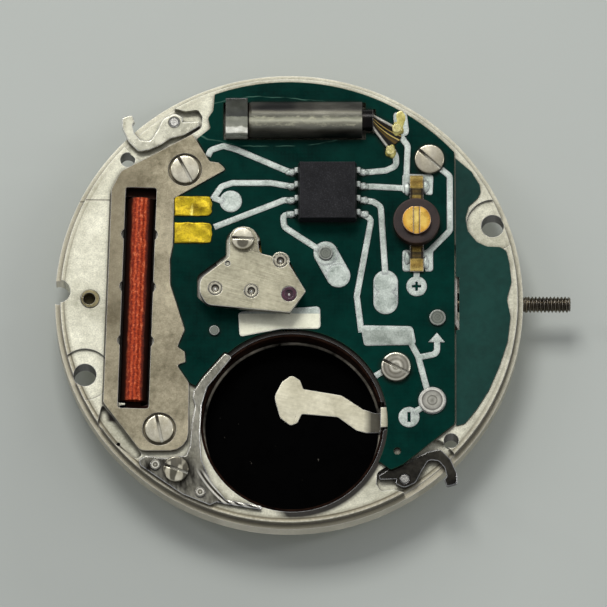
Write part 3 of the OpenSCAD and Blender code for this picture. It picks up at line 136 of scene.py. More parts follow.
class Tree:
    """Short calls for making and joining shader nodes."""

    def __init__(self, tree):
        self.tree = tree

    def put(self, socket, value):
        """Joins a socket to a socket, or sets its value; text is a colour's code."""
        if isinstance(value, str):
            value = linear(value)
        if isinstance(value, bpy.types.NodeSocket):
            self.tree.links.new(value, socket)
        elif hasattr(socket.default_value,
                     "__len__") and len(socket.default_value) == 4 and len(value) == 3:
            socket.default_value = (*value, 1)
        else:
            socket.default_value = value

    def add(self, kind, inputs=None, **settings):
        node = self.tree.nodes.new(kind)
        for key, value in settings.items():
            setattr(node, key, value)
        for key, value in (inputs or {}).items():
            self.put(node.inputs[key], value)
        return node

    def maths(self, operation, *values, clamp=False):
        node = self.add("ShaderNodeMath", operation=operation, use_clamp=clamp)
        for i, value in enumerate(values):
            self.put(node.inputs[i], value)
        return node.outputs[0]

    def times(self, first, *others):
        """Product of masks and numbers."""
        for value in others:
            first = self.maths("MULTIPLY", first, value)
        return first

    def plus(self, a, b):
        return self.maths("ADD", a, b)

    def minus(self, a, b):
        return self.maths("SUBTRACT", a, b)

    def sway(self, value, amount):
        """Shift both ways by a value that lies about one half."""
        return self.times(self.minus(value, 0.5), amount)

    def blend(self, factor, a, b, how="MIX"):
        node = self.add("ShaderNodeMix", data_type="RGBA", blend_type=how, clamp_factor=True)
        for key, value in (("Factor", factor), (6, a), (7, b)):
            self.put(node.inputs[key], value)
        return node.outputs[2]

    def over(self, tone, colour, *masks):
        """Tone with a colour laid over it where all the masks are one."""
        return self.blend(self.times(*masks), tone, colour)

    def ramp(self, value, low, high, to=(0, 1)):
        """Value brought from the range low to high to the range given."""
        node = self.add("ShaderNodeMapRange", clamp=True)
        for key, v in zip(("Value", "From Min", "From Max", "To Min", "To Max"), (value, low, high, *to)):
            self.put(node.inputs[key], v)
        return node.outputs[0]

    def bands(self, value, low, high, stops):
        """Colours along a value that runs from low to high; each stop in the text is a place and a code."""
        node = self.add("ShaderNodeValToRGB", {"Fac": self.ramp(value, low, high)})
        elements, stops = node.color_ramp.elements, [stop.split() for stop in stops.split(", ")]
        while len(elements) < len(stops):
            elements.new(1.0)
        for element, (place, code) in zip(elements, stops):
            element.position = float(place)
            element.color = (*linear(code), 1)
        return node.outputs[0]

    def axis(self, vector, letter):
        return self.add("ShaderNodeSeparateXYZ", {"Vector": vector}).outputs[letter]

    def span(self, vector):
        """Length of a vector."""
        return self.add("ShaderNodeVectorMath", {0: vector}, operation="LENGTH").outputs["Value"]

    def within(self, value, low, high, soft=0.00003):
        """One between low and high, with soft borders."""
        return self.times(self.ramp(value, low - soft, low), self.ramp(value, high + soft, high))

    def mapped(self, vector, location=(0, 0, 0), turn=0, scale=(1, 1, 1)):
        node = self.add("ShaderNodeMapping", {"Vector": vector}, vector_type="POINT")
        for key, value in (("Location", location), ("Rotation", (0, 0, turn)), ("Scale", scale)):
            node.inputs[key].default_value = value
        return node.outputs[0]

    def noise(self, vector, scale, detail=3, rough=0.55):
        inputs = {"Vector": vector, "Scale": scale, "Detail": detail, "Roughness": rough}
        return self.add("ShaderNodeTexNoise", inputs).outputs["Fac"]


def group(name, ins, outs):
    """New shader group with its sockets; returns the tree, its inputs and its output node."""
    tree = bpy.data.node_groups.new(name, "ShaderNodeTree")
    kinds = {"v": "NodeSocketVector", "f": "NodeSocketFloat", "c": "NodeSocketColor"}
    for label, kind, value in ins:
        socket = tree.interface.new_socket(label, in_out="INPUT", socket_type=kinds[kind])
        if value is not None:
            socket.default_value = value
    for label, kind in outs:
        tree.interface.new_socket(label, in_out="OUTPUT", socket_type=kinds[kind])
    t = Tree(tree)
    return t, t.add("NodeGroupInput").outputs, t.add("NodeGroupOutput").inputs


def soft_edge_group():
    """Normals rounded at the edges, a mask of the edges from how far they turn, and one of the creases
    from how little of the sky they see."""
    ins = [("Radius", "f", 0.00003), ("Reach", "f", 0.0003)]
    t, i, o = group("Soft edges", ins, [("Normal", "v"), ("Edge", "f"), ("Crease", "f")])
    shade = t.add("ShaderNodeAmbientOcclusion", {"Distance": i["Reach"]}, samples=6)
    bevel = t.add("ShaderNodeBevel", {"Radius": i["Radius"]}, samples=6)
    sharp = t.add("ShaderNodeNewGeometry").outputs["Normal"]
    dot = t.add("ShaderNodeVectorMath", {0: bevel.outputs[0], 1: sharp}, operation="DOT_PRODUCT")
    t.put(o["Normal"], bevel.outputs[0])
    t.put(o["Edge"], t.ramp(dot.outputs["Value"], 0.995, 0.85))
    t.put(o["Crease"], t.ramp(shade.outputs["AO"], 0.95, 0.35))
    return t.tree


def grain_group():
    """Fine height with slow patches, drawn out along one way by the vector's own scale."""
    ins = [("Vector", "v", None), ("Scale", "f", 20000.0), ("Patch scale", "f", 900.0)]
    t, i, o = group("Grain", ins, [("Height", "f"), ("Patch", "f")])
    t.put(o["Height"], t.noise(i["Vector"], i["Scale"], 4, 0.65))
    t.put(o["Patch"], t.ramp(t.noise(i["Vector"], i["Patch scale"], 4, 0.6), 0.35, 0.65))
    return t.tree


def scratch_group():
    """Thin lines one way: noise drawn out by the vector's own scale, of which only the peaks stay."""
    ins = [("Vector", "v", None), ("Scale", "f", 1200.0), ("Amount", "f", 0.5)]
    t, i, o = group("Scratches", ins, [("Line", "f")])
    line = t.noise(i["Vector"], i["Scale"], 2, 0.5)
    edge = t.minus(0.72, t.times(i["Amount"], 0.12))
    t.put(o["Line"], t.ramp(line, edge, t.plus(edge, 0.05)))
    return t.tree


def mottle_group():
    """Colour between two, by clouds of two sizes."""
    ins = [("Vector", "v", None), ("Scale", "f", 500.0), ("Low", "c", None), ("High", "c", None)]
    t, i, o = group("Mottle", ins, [("Color", "c")])
    big = t.noise(i["Vector"], i["Scale"], 5, 0.6)
    small = t.noise(i["Vector"], t.times(i["Scale"], 9.0), 3, 0.6)
    cloud = t.ramp(t.plus(t.times(big, 0.7), t.times(small, 0.3)), 0.36, 0.64)
    t.put(o["Color"], t.blend(cloud, i["Low"], i["High"]))
    return t.tree


def lathe_group():
    """Noise that runs in rings round a centre: dense along the radius, slow round it."""
    ins = [("Vector", "v", None), ("Rings", "f", 9000.0), ("Arcs", "f", 3.0)]
    t, i, o = group("Lathe rings", ins, [("Ring", "f")])
    x, y = t.axis(i["Vector"], "X"), t.axis(i["Vector"], "Y")
    radius = t.maths("SQRT", t.plus(t.maths("POWER", x, 2.0), t.maths("POWER", y, 2.0)))
    angle = t.maths("ARCTAN2", y, x)
    spot = t.add("ShaderNodeCombineXYZ", {"X": t.times(radius, i["Rings"]), "Y": t.times(angle, i["Arcs"])})
    t.put(o["Ring"], t.noise(spot.outputs[0], 1.0, 3, 0.7))
    return t.tree


MAKERS = {"edge": soft_edge_group, "grain": grain_group, "scratch": scratch_group, "mottle": mottle_group,
          "lathe": lathe_group}
GROUPS = {}


def shared(name):
    """The group of that name, made once."""
    if name not in GROUPS:
        GROUPS[name] = MAKERS[name]()
    return GROUPS[name]


class Finish(Tree):
    """A material round one Principled BSDF."""

    def __init__(self, name, **values):
        self.material = bpy.data.materials.new(name)
        self.material.use_nodes = True
        self.material.node_tree.nodes.clear()
        super().__init__(self.material.node_tree)
        self.shader = self.add("ShaderNodeBsdfPrincipled")
        self.output = self.add("ShaderNodeOutputMaterial")
        self.tree.links.new(self.shader.outputs[0], self.output.inputs[0])
        self.set(**values)
        self.where = self.add("ShaderNodeTexCoord").outputs["Object"]

    def set(self, **values):
        for key, value in values.items():
            self.put(self.shader.inputs[key.replace("_", " ")], value)

    def use(self, name, **values):
        """Group of that name; it reads Object coordinates unless it's given a vector."""
        node = self.add("ShaderNodeGroup", node_tree=shared(name))
        if "Vector" in node.inputs:
            values.setdefault("Vector", self.where)
        for key, value in values.items():
            self.put(node.inputs[key.replace("_", " ")], value)
        return node.outputs

    def at(self, letter):
        return self.axis(self.where, letter)

    def reach(self, x, y):
        """Distance in plan from a point given in millimetres."""
        return self.span(self.mapped(self.where, location=(-x * MM, -y * MM, 0), scale=(1, 1, 0)))

    def nearest(self, places):
        """Smallest distance from places (x, y, radius in millimetres), each as a share of its radius."""
        near = None
        for x, y, radius in places:
            share = self.maths("DIVIDE", self.reach(x, y), radius * MM)
            near = share if near is None else self.maths("MINIMUM", near, share)
        return near

    def patches(self, size, detail, rough, low, high, to=(0, 1), **space):
        """Noise brought from the range low to high to the range given; space moves or stretches it."""
        vector = self.mapped(self.where, **space) if space else self.where
        return self.ramp(self.noise(vector, size, detail, rough), low, high, to)

    def shade_creases(self, edge_light_and_shade, base, amount):
        """Base colour darkened by painted shade in the creases."""
        return self.over(base, (0.02, 0.015, 0.01), edge_light_and_shade["Crease"], amount)

    def bump(self, height, distance, normal=None):
        node = self.add("ShaderNodeBump", {"Height": height, "Distance": distance, "Strength": 1.0})
        if normal is not None:
            self.put(node.inputs["Normal"], normal)
        return node.outputs[0]

    def skin(self, base, rough, grain, depth, edge_light_and_shade=None, relief=None):
        """Base colour, roughness by the grain's slow patches, and the grain's height over soft edges.
        Grain is the scales of the height and of the patches."""
        fine = self.use("grain", Scale=grain[0], Patch_scale=grain[1])
        height = fine["Height"] if relief is None else self.plus(fine["Height"], relief)
        normal = self.bump(height, depth, None if edge_light_and_shade is None else edge_light_and_shade["Normal"])
        self.set(Base_Color=base, Roughness=self.ramp(fine["Patch"], 0, 1, rough), Normal=normal)


def dress(material, *names):
    """Puts one material on CAD nodes."""
    for name in names:
        mesh = NODES[name].data
        mesh.materials.clear()
        mesh.materials.append(material)


def metal(name, low, high, *nodes, rough=(0.3, 0.42), cloud=500.0, grain=(26000.0, 4e-6), drawn=(1, 1, 1),
          turn=0.0, edge=(0.00003, 0.35), scratch=0.4, metallic=1.0, crease=0.7, speck=0.3, paint=None):
    """Worked metal: clouds of two colours, grain drawn out one way, lines, a painted highlight on the soft
    edges, painted shade in the creases. Grain is a scale and a depth, edge is a radius and the strength of
    the painted highlight, crease is the strength of the painted shade, and the nodes are the ones it
    dresses."""
    f = Finish(name, Metallic=metallic)
    space = f.mapped(f.where, turn=turn)
    pulled = f.mapped(space, scale=drawn)
    tone = f.use("mottle", Vector=space, Scale=cloud, Low=low, High=high)["Color"]
    edge_light_and_shade = f.use("edge", Radius=edge[0])
    lines = f.use("scratch", Vector=f.mapped(space, turn=0.35, scale=(1, 0.02, 1)), Scale=9000.0,
                  Amount=scratch)
    fine = f.use("grain", Vector=pulled, Scale=grain[0], Patch_scale=cloud * 2)
    dots = f.ramp(f.noise(pulled, 13000.0, 2, 0.7), 0.62, 0.3)
    tone = f.over(tone, dim(low, 0.3), dots, speck)
    if paint:
        tone = paint(f, tone)
    # Painted highlight on the soft edges, weaker where the tone is dark.
    lit = f.ramp(f.add("ShaderNodeRGBToBW", {"Color": tone}).outputs[0], 0.0, 0.03, (0.25, 1.0))
    bright = f.times(edge_light_and_shade["Edge"], lit, edge[1])
    base = f.blend(bright, tone, f.blend(0.75, tone, (1, 1, 1)))
    rub = f.times(lines["Line"], 0.06 * scratch)
    height = f.minus(fine["Height"], f.times(lines["Line"], 0.5))
    f.set(
        Base_Color=f.shade_creases(edge_light_and_shade, base, crease),
        Roughness=f.maths("SUBTRACT", f.ramp(fine["Patch"], 0, 1, rough), rub, clamp=True),
        Normal=f.bump(height, grain[1], edge_light_and_shade["Normal"]),
    )
    dress(f.material, *nodes)
    return f.material


def head_steel():
    """Polished steel of the slotted heads. The slot, read along each head's own UV, holds a painted
    highlight; the board's lower head shows turned rings painted as bright and dark reflections, its upper
    one is warmer, the clamp's head has painted dark reflections in patches, and the bridge's head has
    painted shade over its lower part."""
    f = Finish("Polished screw steel", Metallic=0.7)
    clouds = f.use("mottle", Scale=1500.0, Low="#c4bca2", High="#f6efd8")["Color"]
    over = f.add("ShaderNodeUVMap", uv_map="UVMap").outputs[0]
    slot = f.within(f.axis(over, "Y"), *SLOT_ROWS, 0.001)
    # Painted highlight along each slot, dark at one end.
    painted_gleam = f.bands(f.axis(over, "X"), 0, 1, "0 #2e2a1f, 0.3 #5f5a48, 0.45 #efe9d2, 0.8 #fffbe8, 1 #8f8a74")
    # Turned rings on the board's lower head, painted as bright and dark reflections.
    share = f.nearest(((*LOWER_SCREW, 0.8),))
    rings = f.bands(share, 0, 1, "0 #dcd8c8, 0.2 #8d897a, 0.33 #efebda, 0.5 #4f4c41, 0.66 #99958a, "
                    "0.82 #3d3a30, 0.93 #d9d5c5, 1 #8f8b7d")
    tone = f.blend(f.ramp(share, 1.12, 1.1, (0, 0.75)), clouds, rings)
    tone = f.blend(f.ramp(f.reach(*UPPER_SCREW), 0.0009, 0.00088, (0, 0.45)), tone, "#8f8470")
    # Painted dark reflections in patches on the clamp's head, kept out of the slot.
    mirror = f.patches(2300.0, 1, 0.4, 0.44, 0.52, turn=0.9, scale=(1, 0.45, 1))
    clamp = f.ramp(f.nearest(((*CLAMP_SCREW, 0.8),)), 1.12, 1.1, (0, 0.85))
    mirror = f.times(mirror, clamp, f.minus(1.0, slot))
    # Painted shade over the lower part of the bridge's head.
    bridge = f.ramp(f.nearest(((-2.53, 2.86, 0.36),)), 1.0, 0.75)
    bridge = f.times(bridge, f.ramp(f.at("Y"), 0.00298, 0.00294), 0.8)
    tone = f.blend(f.maths("MAXIMUM", bridge, mirror), f.blend(slot, tone, painted_gleam), "#3b362a")
    edge_light_and_shade = f.use("edge", Radius=0.00004, Reach=0.00025)
    lines = f.use("scratch", Vector=f.mapped(f.where, turn=0.5, scale=(1, 0.03, 1)), Scale=6000.0,
                  Amount=0.8)
    pulled = f.mapped(f.where, turn=0.9, scale=(1, 0.12, 1))
    fine = f.use("grain", Vector=pulled, Scale=14000.0, Patch_scale=2600.0)
    # Painted highlight on the soft edges.
    base = f.over(tone, f.blend(0.8, tone, (1, 1, 1)), edge_light_and_shade["Edge"], 0.5)
    height = f.minus(fine["Height"], f.times(lines["Line"], 0.4))
    f.set(
        Base_Color=f.shade_creases(edge_light_and_shade, base, 0.45),
        Roughness=f.ramp(fine["Patch"], 0, 1, (0.14, 0.26)),
        Normal=f.bump(height, 3e-6, edge_light_and_shade["Normal"]),
    )
    return f.material


# ---- Meshes from grids


def grid(rows, cols):
    """Two parameters from 0 to 1, the first down the rows."""
    return np.meshgrid(np.linspace(0, 1, rows), np.linspace(0, 1, cols), indexing="ij")


def round_angles(count):
    """One row of equal angles round a circle."""
    return np.linspace(0, 2 * np.pi, count, endpoint=False)[None, :]


def grid_mesh(name, sheets, closes=True):
    """One mesh from sheets. A sheet is (points, wrap): points has rows, columns and three numbers, and
    wrap joins the last column to the first. A row whose points fall together closes a pole. A mesh that
    closes has its seams merged and its faces turned outwards."""
    verts, faces, uvs, base = [], [], [], 0
    for points, wrap in sheets:
        rows, cols = points.shape[:2]
        wide = cols if wrap else cols - 1
        r, c = np.meshgrid(np.arange(rows - 1), np.arange(wide), indexing="ij")
        a = base + r * cols + c
        b = base + r * cols + (c + 1) % cols
        faces.append(np.stack([a, b, b + cols, a + cols], axis=-1).reshape(-1, 4))
        corners = [np.stack([(c + i) / wide, (r + j) / (rows - 1)], -1) for i,
                   j in ((0, 0), (1, 0), (1, 1), (0, 1))]
        uvs.append(np.stack(corners, axis=2).reshape(-1, 2))
        verts.append(points.reshape(-1, 3))
        base += rows * cols
    verts, faces, uvs = np.concatenate(verts), np.concatenate(faces), np.concatenate(uvs)
    mesh = bpy.data.meshes.new(name)
    mesh.vertices.add(len(verts))
    mesh.vertices.foreach_set("co", verts.astype(np.float32).ravel())
    mesh.loops.add(faces.size)
    mesh.loops.foreach_set("vertex_index", faces.astype(np.int32).ravel())
    mesh.polygons.add(len(faces))
    mesh.polygons.foreach_set("loop_start", np.arange(0, faces.size, 4, dtype=np.int32))
    mesh.uv_layers.new(name="UVMap").data.foreach_set("uv", uvs.astype(np.float32).ravel())
    mesh.polygons.foreach_set("use_smooth", np.full(len(faces), True))
    mesh.update()
    mesh.validate()
    if closes:
        work = bmesh.new()
        work.from_mesh(mesh)
        bmesh.ops.remove_doubles(work, verts=work.verts, dist=1e-7)
        bmesh.ops.recalc_face_normals(work, faces=work.faces)
        work.to_mesh(mesh)
        work.free()
    mesh.set_sharp_from_angle(angle=math.radians(38))
    return mesh


def piece(name, sheets, material, body, slot, *replaced):
    """Object of new sheets that rides on a body and stands for CAD nodes."""
    mesh = grid_mesh(name, sheets)
    mesh.materials.append(material)
    thing = bpy.data.objects.new(name, mesh)
    bpy.context.scene.collection.objects.link(thing)
    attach(thing, body)
    if replaced:
        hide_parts(*replaced)


def closed(top, under):
    """Two grids of the same size and the rim between them."""
    ring = [np.concatenate([g[0], g[1:, -1], g[-1, -2::-1], g[-2:0:-1, 0]]) for g in (under, top)]
    return [(top, False), (under[:, ::-1], False), (np.stack(ring), True)]


def blob(centre, radii, base, height, phase):
    """Closed drop on a flat: its outline is an ellipse with three and five slow lobes; its height is that of
    a flattened dome, one minus the radius squared to the power 0.6, with a slow wave over it."""
    share = np.linspace(0, 1, 14)[:, None]
    angle = round_angles(40)
    lobe = 1 + 0.09 * np.sin(3 * angle + phase) + 0.05 * np.sin(5 * angle + 2 * phase)
    x = centre[0] + radii[0] * share * lobe * np.cos(angle)
    y = centre[1] + radii[1] * share * lobe * np.sin(angle)
    z = base + height * (1 - share**2) ** 0.6 * (1 + 0.14 * share * np.sin(2 * angle + phase)) / 1.14
    top = np.stack([x, y, z], axis=-1)
    foot = top[-1:] * (1, 1, 0) + (0, 0, base - 2e-6)
    pole = foot * 0 + (*centre, base - 2e-6)
    return np.concatenate([top, foot, pole]), True


def screw_sheets(centre, top, height, radius, turn, shank, below):
    """Closed head and shank of a slotted screw. The face's rows run across the slot and double at its walls;
    each row spans the disc. The face sinks from the middle by the dome times the radius squared, rounds off
    over the chamfer, and drops by the depth between the slot's walls."""
    wall, depth, dome, chamfer = 0.000075, 0.000176, 2.2e-5, 6e-5
    lip = wall * 0.18
    outer = wall + lip + (radius - wall - lip) * np.sin(np.linspace(0, np.pi / 2, 26))
    half = np.concatenate([[wall * 0.55, wall, wall, wall + lip * 0.5], outer])
    cut = np.concatenate([[1, 1, 0, 0], np.zeros(26)])
    soft = np.concatenate([[0, 0, 1, 0.3], np.zeros(26)])
    across = np.concatenate([-half[::-1], half])[:, None]
    cut, soft = (np.concatenate([k[::-1], k])[:, None] for k in (cut, soft))
    span = np.sqrt(np.maximum(radius**2 - across**2, 0))
    along = span * np.sin(np.linspace(-np.pi / 2, np.pi / 2, 61))[None, :]
    rho = np.sqrt(along**2 + across**2)
    into = np.clip((rho - radius + chamfer) / chamfer, 0, 1)
    z = -dome * (rho / radius) ** 2 - chamfer * (1 - np.sqrt(1 - into**2)) * 0.8
    z = np.where(cut > 0, -depth + 0 * z, z - soft * lip * 0.6)
    c, n = math.cos(turn), math.sin(turn)
    face = np.stack([centre[0] + c * along - n * across, centre[1] + n * along + c * across, top + z],
                    axis=-1)
    rim = np.concatenate([face[:, -1], face[-2:0:-1, 0]])
    foot = rim * (1, 1, 0) + (0, 0, top - height)
    hub = np.array([*centre, top - height])
    inner = hub + (foot - hub) * (shank / radius)
    low = inner - (0, 0, below)
    point = low * (0, 0, 1) + (*centre, 0)
    return [(face, False), (np.stack([rim, foot, inner, low, point]), True)]


# ---- Sizes and colours


class MovementStage(bpy.types.PropertyGroup):
    floor: colour("Floor", "#b9bdb6", "Colour of the floor")
    key: power("Key light", 0.62, "Power of the lamp over the object")
    fill: power("Fill light", 0.17, "Power of each side lamp")
    under: power("Under light", 0.22, "Power of the lamp below the floor, for the dial side")
    sky: FloatProperty(name="Sky", description="Strength of the world", default=0.40, min=0)
    distance: length("Camera distance", 700, "Distance of the camera from the movement")
    tilt: FloatProperty(name="Tilt", description="Camera's angle from straight above", subtype="ANGLE",
                        unit="ROTATION", default=math.radians(14.3))
    lens: FloatProperty(name="Lens", description="Focal length of the camera", unit="CAMERA", default=759.7)


class MovementMetals(bpy.types.PropertyGroup):
    plate_low: colour("Plate, dark", "#b6b39d", "Darker clouds of the plate's nickel")
    plate_high: colour("Plate, light", "#eeebd5", "Lighter clouds of the plate's nickel")
    cover_low: colour("Coil cover, dark", "#6a6350", "Darker clouds of the coil's cover")
    cover_high: colour("Coil cover, light", "#b0a78e", "Lighter clouds of the coil's cover")
    steel_low: colour("Steel, dark", "#a19e94", "Darker clouds of polished steel")
    steel_high: colour("Steel, light", "#d6d4cc", "Lighter clouds of polished steel")
    brass_low: colour("Brass, dark", "#a8813a", "Darker clouds of brass")
    brass_high: colour("Brass, light", "#e0b764", "Lighter clouds of brass")
    strap_low: colour("Strap, dark", "#b4ae94", "Darker clouds of the contact strap")
    strap_high: colour("Strap, light", "#e2dcc2", "Lighter clouds of the contact strap")


class MovementCircuit(bpy.types.PropertyGroup):
    board_dark: colour("Board, dark", "#001d19", "Darker clouds of the board")
    board_light: colour("Board, light", "#00322a", "Lighter clouds of the board")
    film: colour("Film", "#133a33", "Colour of the film beside the board")
    tin_low: colour("Tin, dark", "#8b958b", "Darker clouds of the tinned tracks")
    tin_high: colour("Tin, light", "#d5dcd2", "Lighter clouds of the tinned tracks")
    chip: colour("Chip", "#121214", "Colour of the chip's body")


class MovementCoil(bpy.types.PropertyGroup):
    wire_low: colour("Wire, dark", "#6e1a08", "Shadowed wire of the winding")
    wire_high: colour("Wire, light", "#c24a20", "Lit wire of the winding")
    gold_low: colour("Tongues, dark", "#7a6300", "Darker folds of the gold tongues")
    gold_high: colour("Tongues, light", "#d9bd20", "Lighter folds of the gold tongues")
    pitch: length("Wire pitch", 0.055, "Distance between the turns that show")
    turns: IntProperty(name="Rows", description="Rows of points along the winding", default=420, min=50)


# ---- Pieces


def coil_space(f):
    """Object coordinates moved and turned so that the coil lies along Y."""
    return f.mapped(f.mapped(f.where, location=(-COIL_X * MM, 0, 0)), turn=COIL_LEAN)


class MOVEMENT_OT_plate(bpy.types.Operator):
    """Finish of the main plate, the dial clamps and the bush at the rim"""

    bl_idname = "movement.plate"
    bl_label = "Main plate"

    def execute(self, context):
        look = context.scene.movement_metals
        metal("Blasted nickel", look.plate_low, look.plate_high, "main_plate", rough=(0.34, 0.46),
              cloud=420.0, grain=(42000.0, 3.5e-6), edge=(0.00005, 0.8), scratch=0.25, metallic=0.6,
              crease=0.9, speck=0.4, paint=self.plate_paint)
        metal("Clamp nickel", "#a9a690", "#e2dfca", "dial_clamp_left", rough=(0.22, 0.32), cloud=700.0,
              grain=(30000.0, 1.2e-6), edge=(0.00010, 1.0), scratch=0.5, metallic=0.6, speck=0.15,
              paint=self.pin_paint)
        # Near-black clouds on the right clamp: a painted dark reflection in its polished nickel.
        metal("Polished clamp", "#0f0d09", "#4a473d", "dial_clamp_right", rough=(0.1, 0.18), cloud=520.0,
              metallic=0.7, grain=(30000.0, 8e-7), edge=(0.00009, 1.0), scratch=0.5, speck=0.1,
              paint=self.pin_paint)
        metal("Rim bush", "#5d553c", "#8b8262", "eccentric_bush", rough=(0.25, 0.4), edge=(0.00004, 0.7))
        return {"FINISHED"}

    def pin_paint(self, f, tone):
        """Painted shade: a dark ring on each clamp round its pin."""
        return f.over(tone, "#1d1911", f.ramp(f.nearest(CLAMP_PINS), 1.05, 0.95), 0.85)

    def plate_paint(self, f, tone):
        """Turned lines at the rim, laid on more strongly towards the lower side as painted shade; painted
        shade and light in turned bands on the rim's walls; brown film round the well; painted shade in the
        coil's room, in thin lines along its sides and on the walls of the holes; a scribed line.
        """
        height = f.at("Z")
        centre = f.reach(0, 0)
        ring = f.use("lathe", Rings=26000.0, Arcs=2.0)["Ring"]
        place = f.plus(centre, f.sway(ring, 0.00014))
        rings = f.bands(place, 0.01212, 0.0129, "0 #b9b5a0, 0.14 #c4c0aa, 0.22 #4a4433, 0.3 #a09880, "
                        "0.45 #d9d4be, 0.56 #5a523e, 0.66 #b0a890, 0.84 #d4ceb8, 1 #7d745e")
        lower = f.axis(f.mapped(f.where, turn=math.radians(20)), "Y")
        # The rim's turned lines are laid on more strongly towards the lower side, as painted shade.
        lower_side_shade = f.ramp(lower, 0.004, -0.008, (0.2, 1.0))
        rough = f.patches(6500.0, 4, 0.7, 0.42, 0.62, (0.55, 1.0))
        tone = f.over(tone, f.blend(rough, "#6f6854", rings), f.ramp(centre, 0.01208, 0.0122), lower_side_shade)
        # Painted shade and light on the rim's outer wall and step: turned bands of dark and pale, stronger
        # towards the lower side.
        wall = f.times(f.ramp(centre, 0.01272, 0.01278), f.ramp(height, 0.0012, 0.0009))
        step = f.times(f.ramp(centre, 0.01242, 0.01247), f.ramp(height, 0.00165, 0.0014))
        wall = f.times(f.maths("MAXIMUM", wall, step), f.ramp(lower, 0.004, -0.004, (0.2, 0.75)))
        tone = f.blend(wall, tone, f.blend(ring, "#5c543f", "#dfd8c0"))
        well = f.ramp(f.reach(*WELL), 0.00545, 0.00525)
        side = f.mapped(f.where, location=(-WELL[0] * MM, -WELL[1] * MM, 0), turn=math.radians(52))
        facing = f.ramp(f.axis(side, "Y"), -0.0012, -0.0006)
        inner = f.times(f.ramp(height, 0.00015, 0.0003), 0.97)
        tone = f.over(tone, "#0d0705", well, facing, inner)
        room = coil_space(f)
        across = f.maths("ABSOLUTE", f.axis(room, "X"))
        along = f.maths("ABSOLUTE", f.axis(room, "Y"))
        coil = f.times(f.ramp(across, 0.00150, 0.00125), f.ramp(along, 0.00690, 0.00675))
        tone = f.over(tone, "#160705", coil, f.ramp(height, 0.00168, 0.00160), inner)
        # Painted shade in a thin line along each side of the coil's room.
        gap_shade = f.times(f.within(across, 0.00155, 0.00171, 0.00002), f.ramp(along, 0.00615, 0.0059))
        tone = f.over(tone, "#2a261b", gap_shade, inner, 0.85)
        # Painted shade on the walls of the plate's holes.
        bore_shade = f.ramp(f.nearest(PLATE_HOLES), 1.03, 1.01)
        tone = f.over(tone, "#14110b", bore_shade, f.ramp(height, 0.00172, 0.00155), 0.93)
        line = f.within(f.axis(f.mapped(f.where, turn=math.radians(0.6)), "Y"), 0.00552, 0.00555)
        left = f.ramp(f.at("X"), -0.0092, -0.0095)
        return f.over(tone, "#3a3528", line, left, inner, 0.85)


class MOVEMENT_OT_well(bpy.types.Operator):
    """Finish of the battery well, its strap and its clamp"""

    bl_idname = "movement.well"
    bl_label = "Battery well"

    def execute(self, context):
        look = context.scene.movement_metals
        f = Finish("Moulded insulator", Metallic=0.0, Specular_IOR_Level=0.01)
        height = f.ramp(f.at("Z"), 0.00025, 0.0009)
        radius = f.reach(*WELL)
        wall = f.use("mottle", Scale=1600.0, Low="#070403", High="#2a1a12")
        edge_light_and_shade = f.use("edge", Radius=0.00004)
        base = f.blend(height, "#010101", wall["Color"])
        # Painted highlight: a pale line in pieces on the floor by the wall; pale dust specks lie over the
        # rest.
        line = f.times(f.ramp(radius, 0.00472, 0.00478), f.ramp(f.at("Z"), 0.00036, 0.00030))
        broken_highlight = f.times(line, f.patches(700.0, 3, 0.6, 0.35, 0.6))
        dust = f.patches(2600.0, 2, 0.5, 0.77, 0.82)
        pale = f.maths("MAXIMUM", f.times(broken_highlight, 0.75), f.times(dust, 0.2))
        f.skin(f.blend(pale, base, "#b5ad9c"), (0.3, 0.5), (30000.0, 900.0), 1e-6, edge_light_and_shade)
        dress(f.material, "well_insulator")
        metal("Strap metal", look.strap_low, look.strap_high, "contact_strap", rough=(0.3, 0.42),
              cloud=420.0, grain=(9000.0, 3e-6), drawn=(0.12, 1, 1), turn=0.25, edge=(0.00007, 0.9),
              scratch=0.7, metallic=0.7, speck=0.15, paint=self.strap_paint)
        metal("Clamp steel", "#858171", "#cfcbb9", "battery_clamp", rough=(0.16, 0.3), cloud=700.0,
              grain=(16000.0, 4e-6), drawn=(1, 0.2, 1), turn=-0.35, edge=(0.00012, 1.0), scratch=0.9,
              metallic=0.85, speck=0.3, paint=self.clamp_paint)
        return {"FINISHED"}

    def clamp_paint(self, f, tone):
        """The polished plate of the clamp mirrors the dark of the well as a painted dark reflection; the arm
        stays pale, with painted light and shade in bands round the well.
        """
        low = f.ramp(f.plus(f.at("Y"), f.times(f.at("X"), 0.55)), -0.0116, -0.0123)
        patch = f.patches(1100.0, 3, 0.6, 0.42, 0.6, (1, 0.15), turn=0.6, scale=(1, 0.35, 1))
        tone = f.over(tone, "#17140d", low, patch)
        # Painted light and shade: bright and dark bands round the well on the clamp's arm.
        round_well = f.reach(*WELL)
        rib = f.maths("SINE", f.times(round_well, 2 * math.pi / 0.00024))
        ribs = f.times(f.within(round_well, 0.0051, 0.00585, 0.0001), f.ramp(f.at("Y"), -0.0095, -0.0099))
        return f.over(tone, f.blend(f.ramp(rib, -0.5, 0.5), "#2f2a1d", "#efebdc"), ribs, 0.85)

    def strap_paint(self, f, tone):
        """The bend towards the riser turns away from the light."""
        bend = f.ramp(f.at("X"), 0.00405, 0.00450)
        return f.over(tone, "#201c14", bend, f.ramp(f.at("Z"), 0.0015, 0.0013), 0.9)


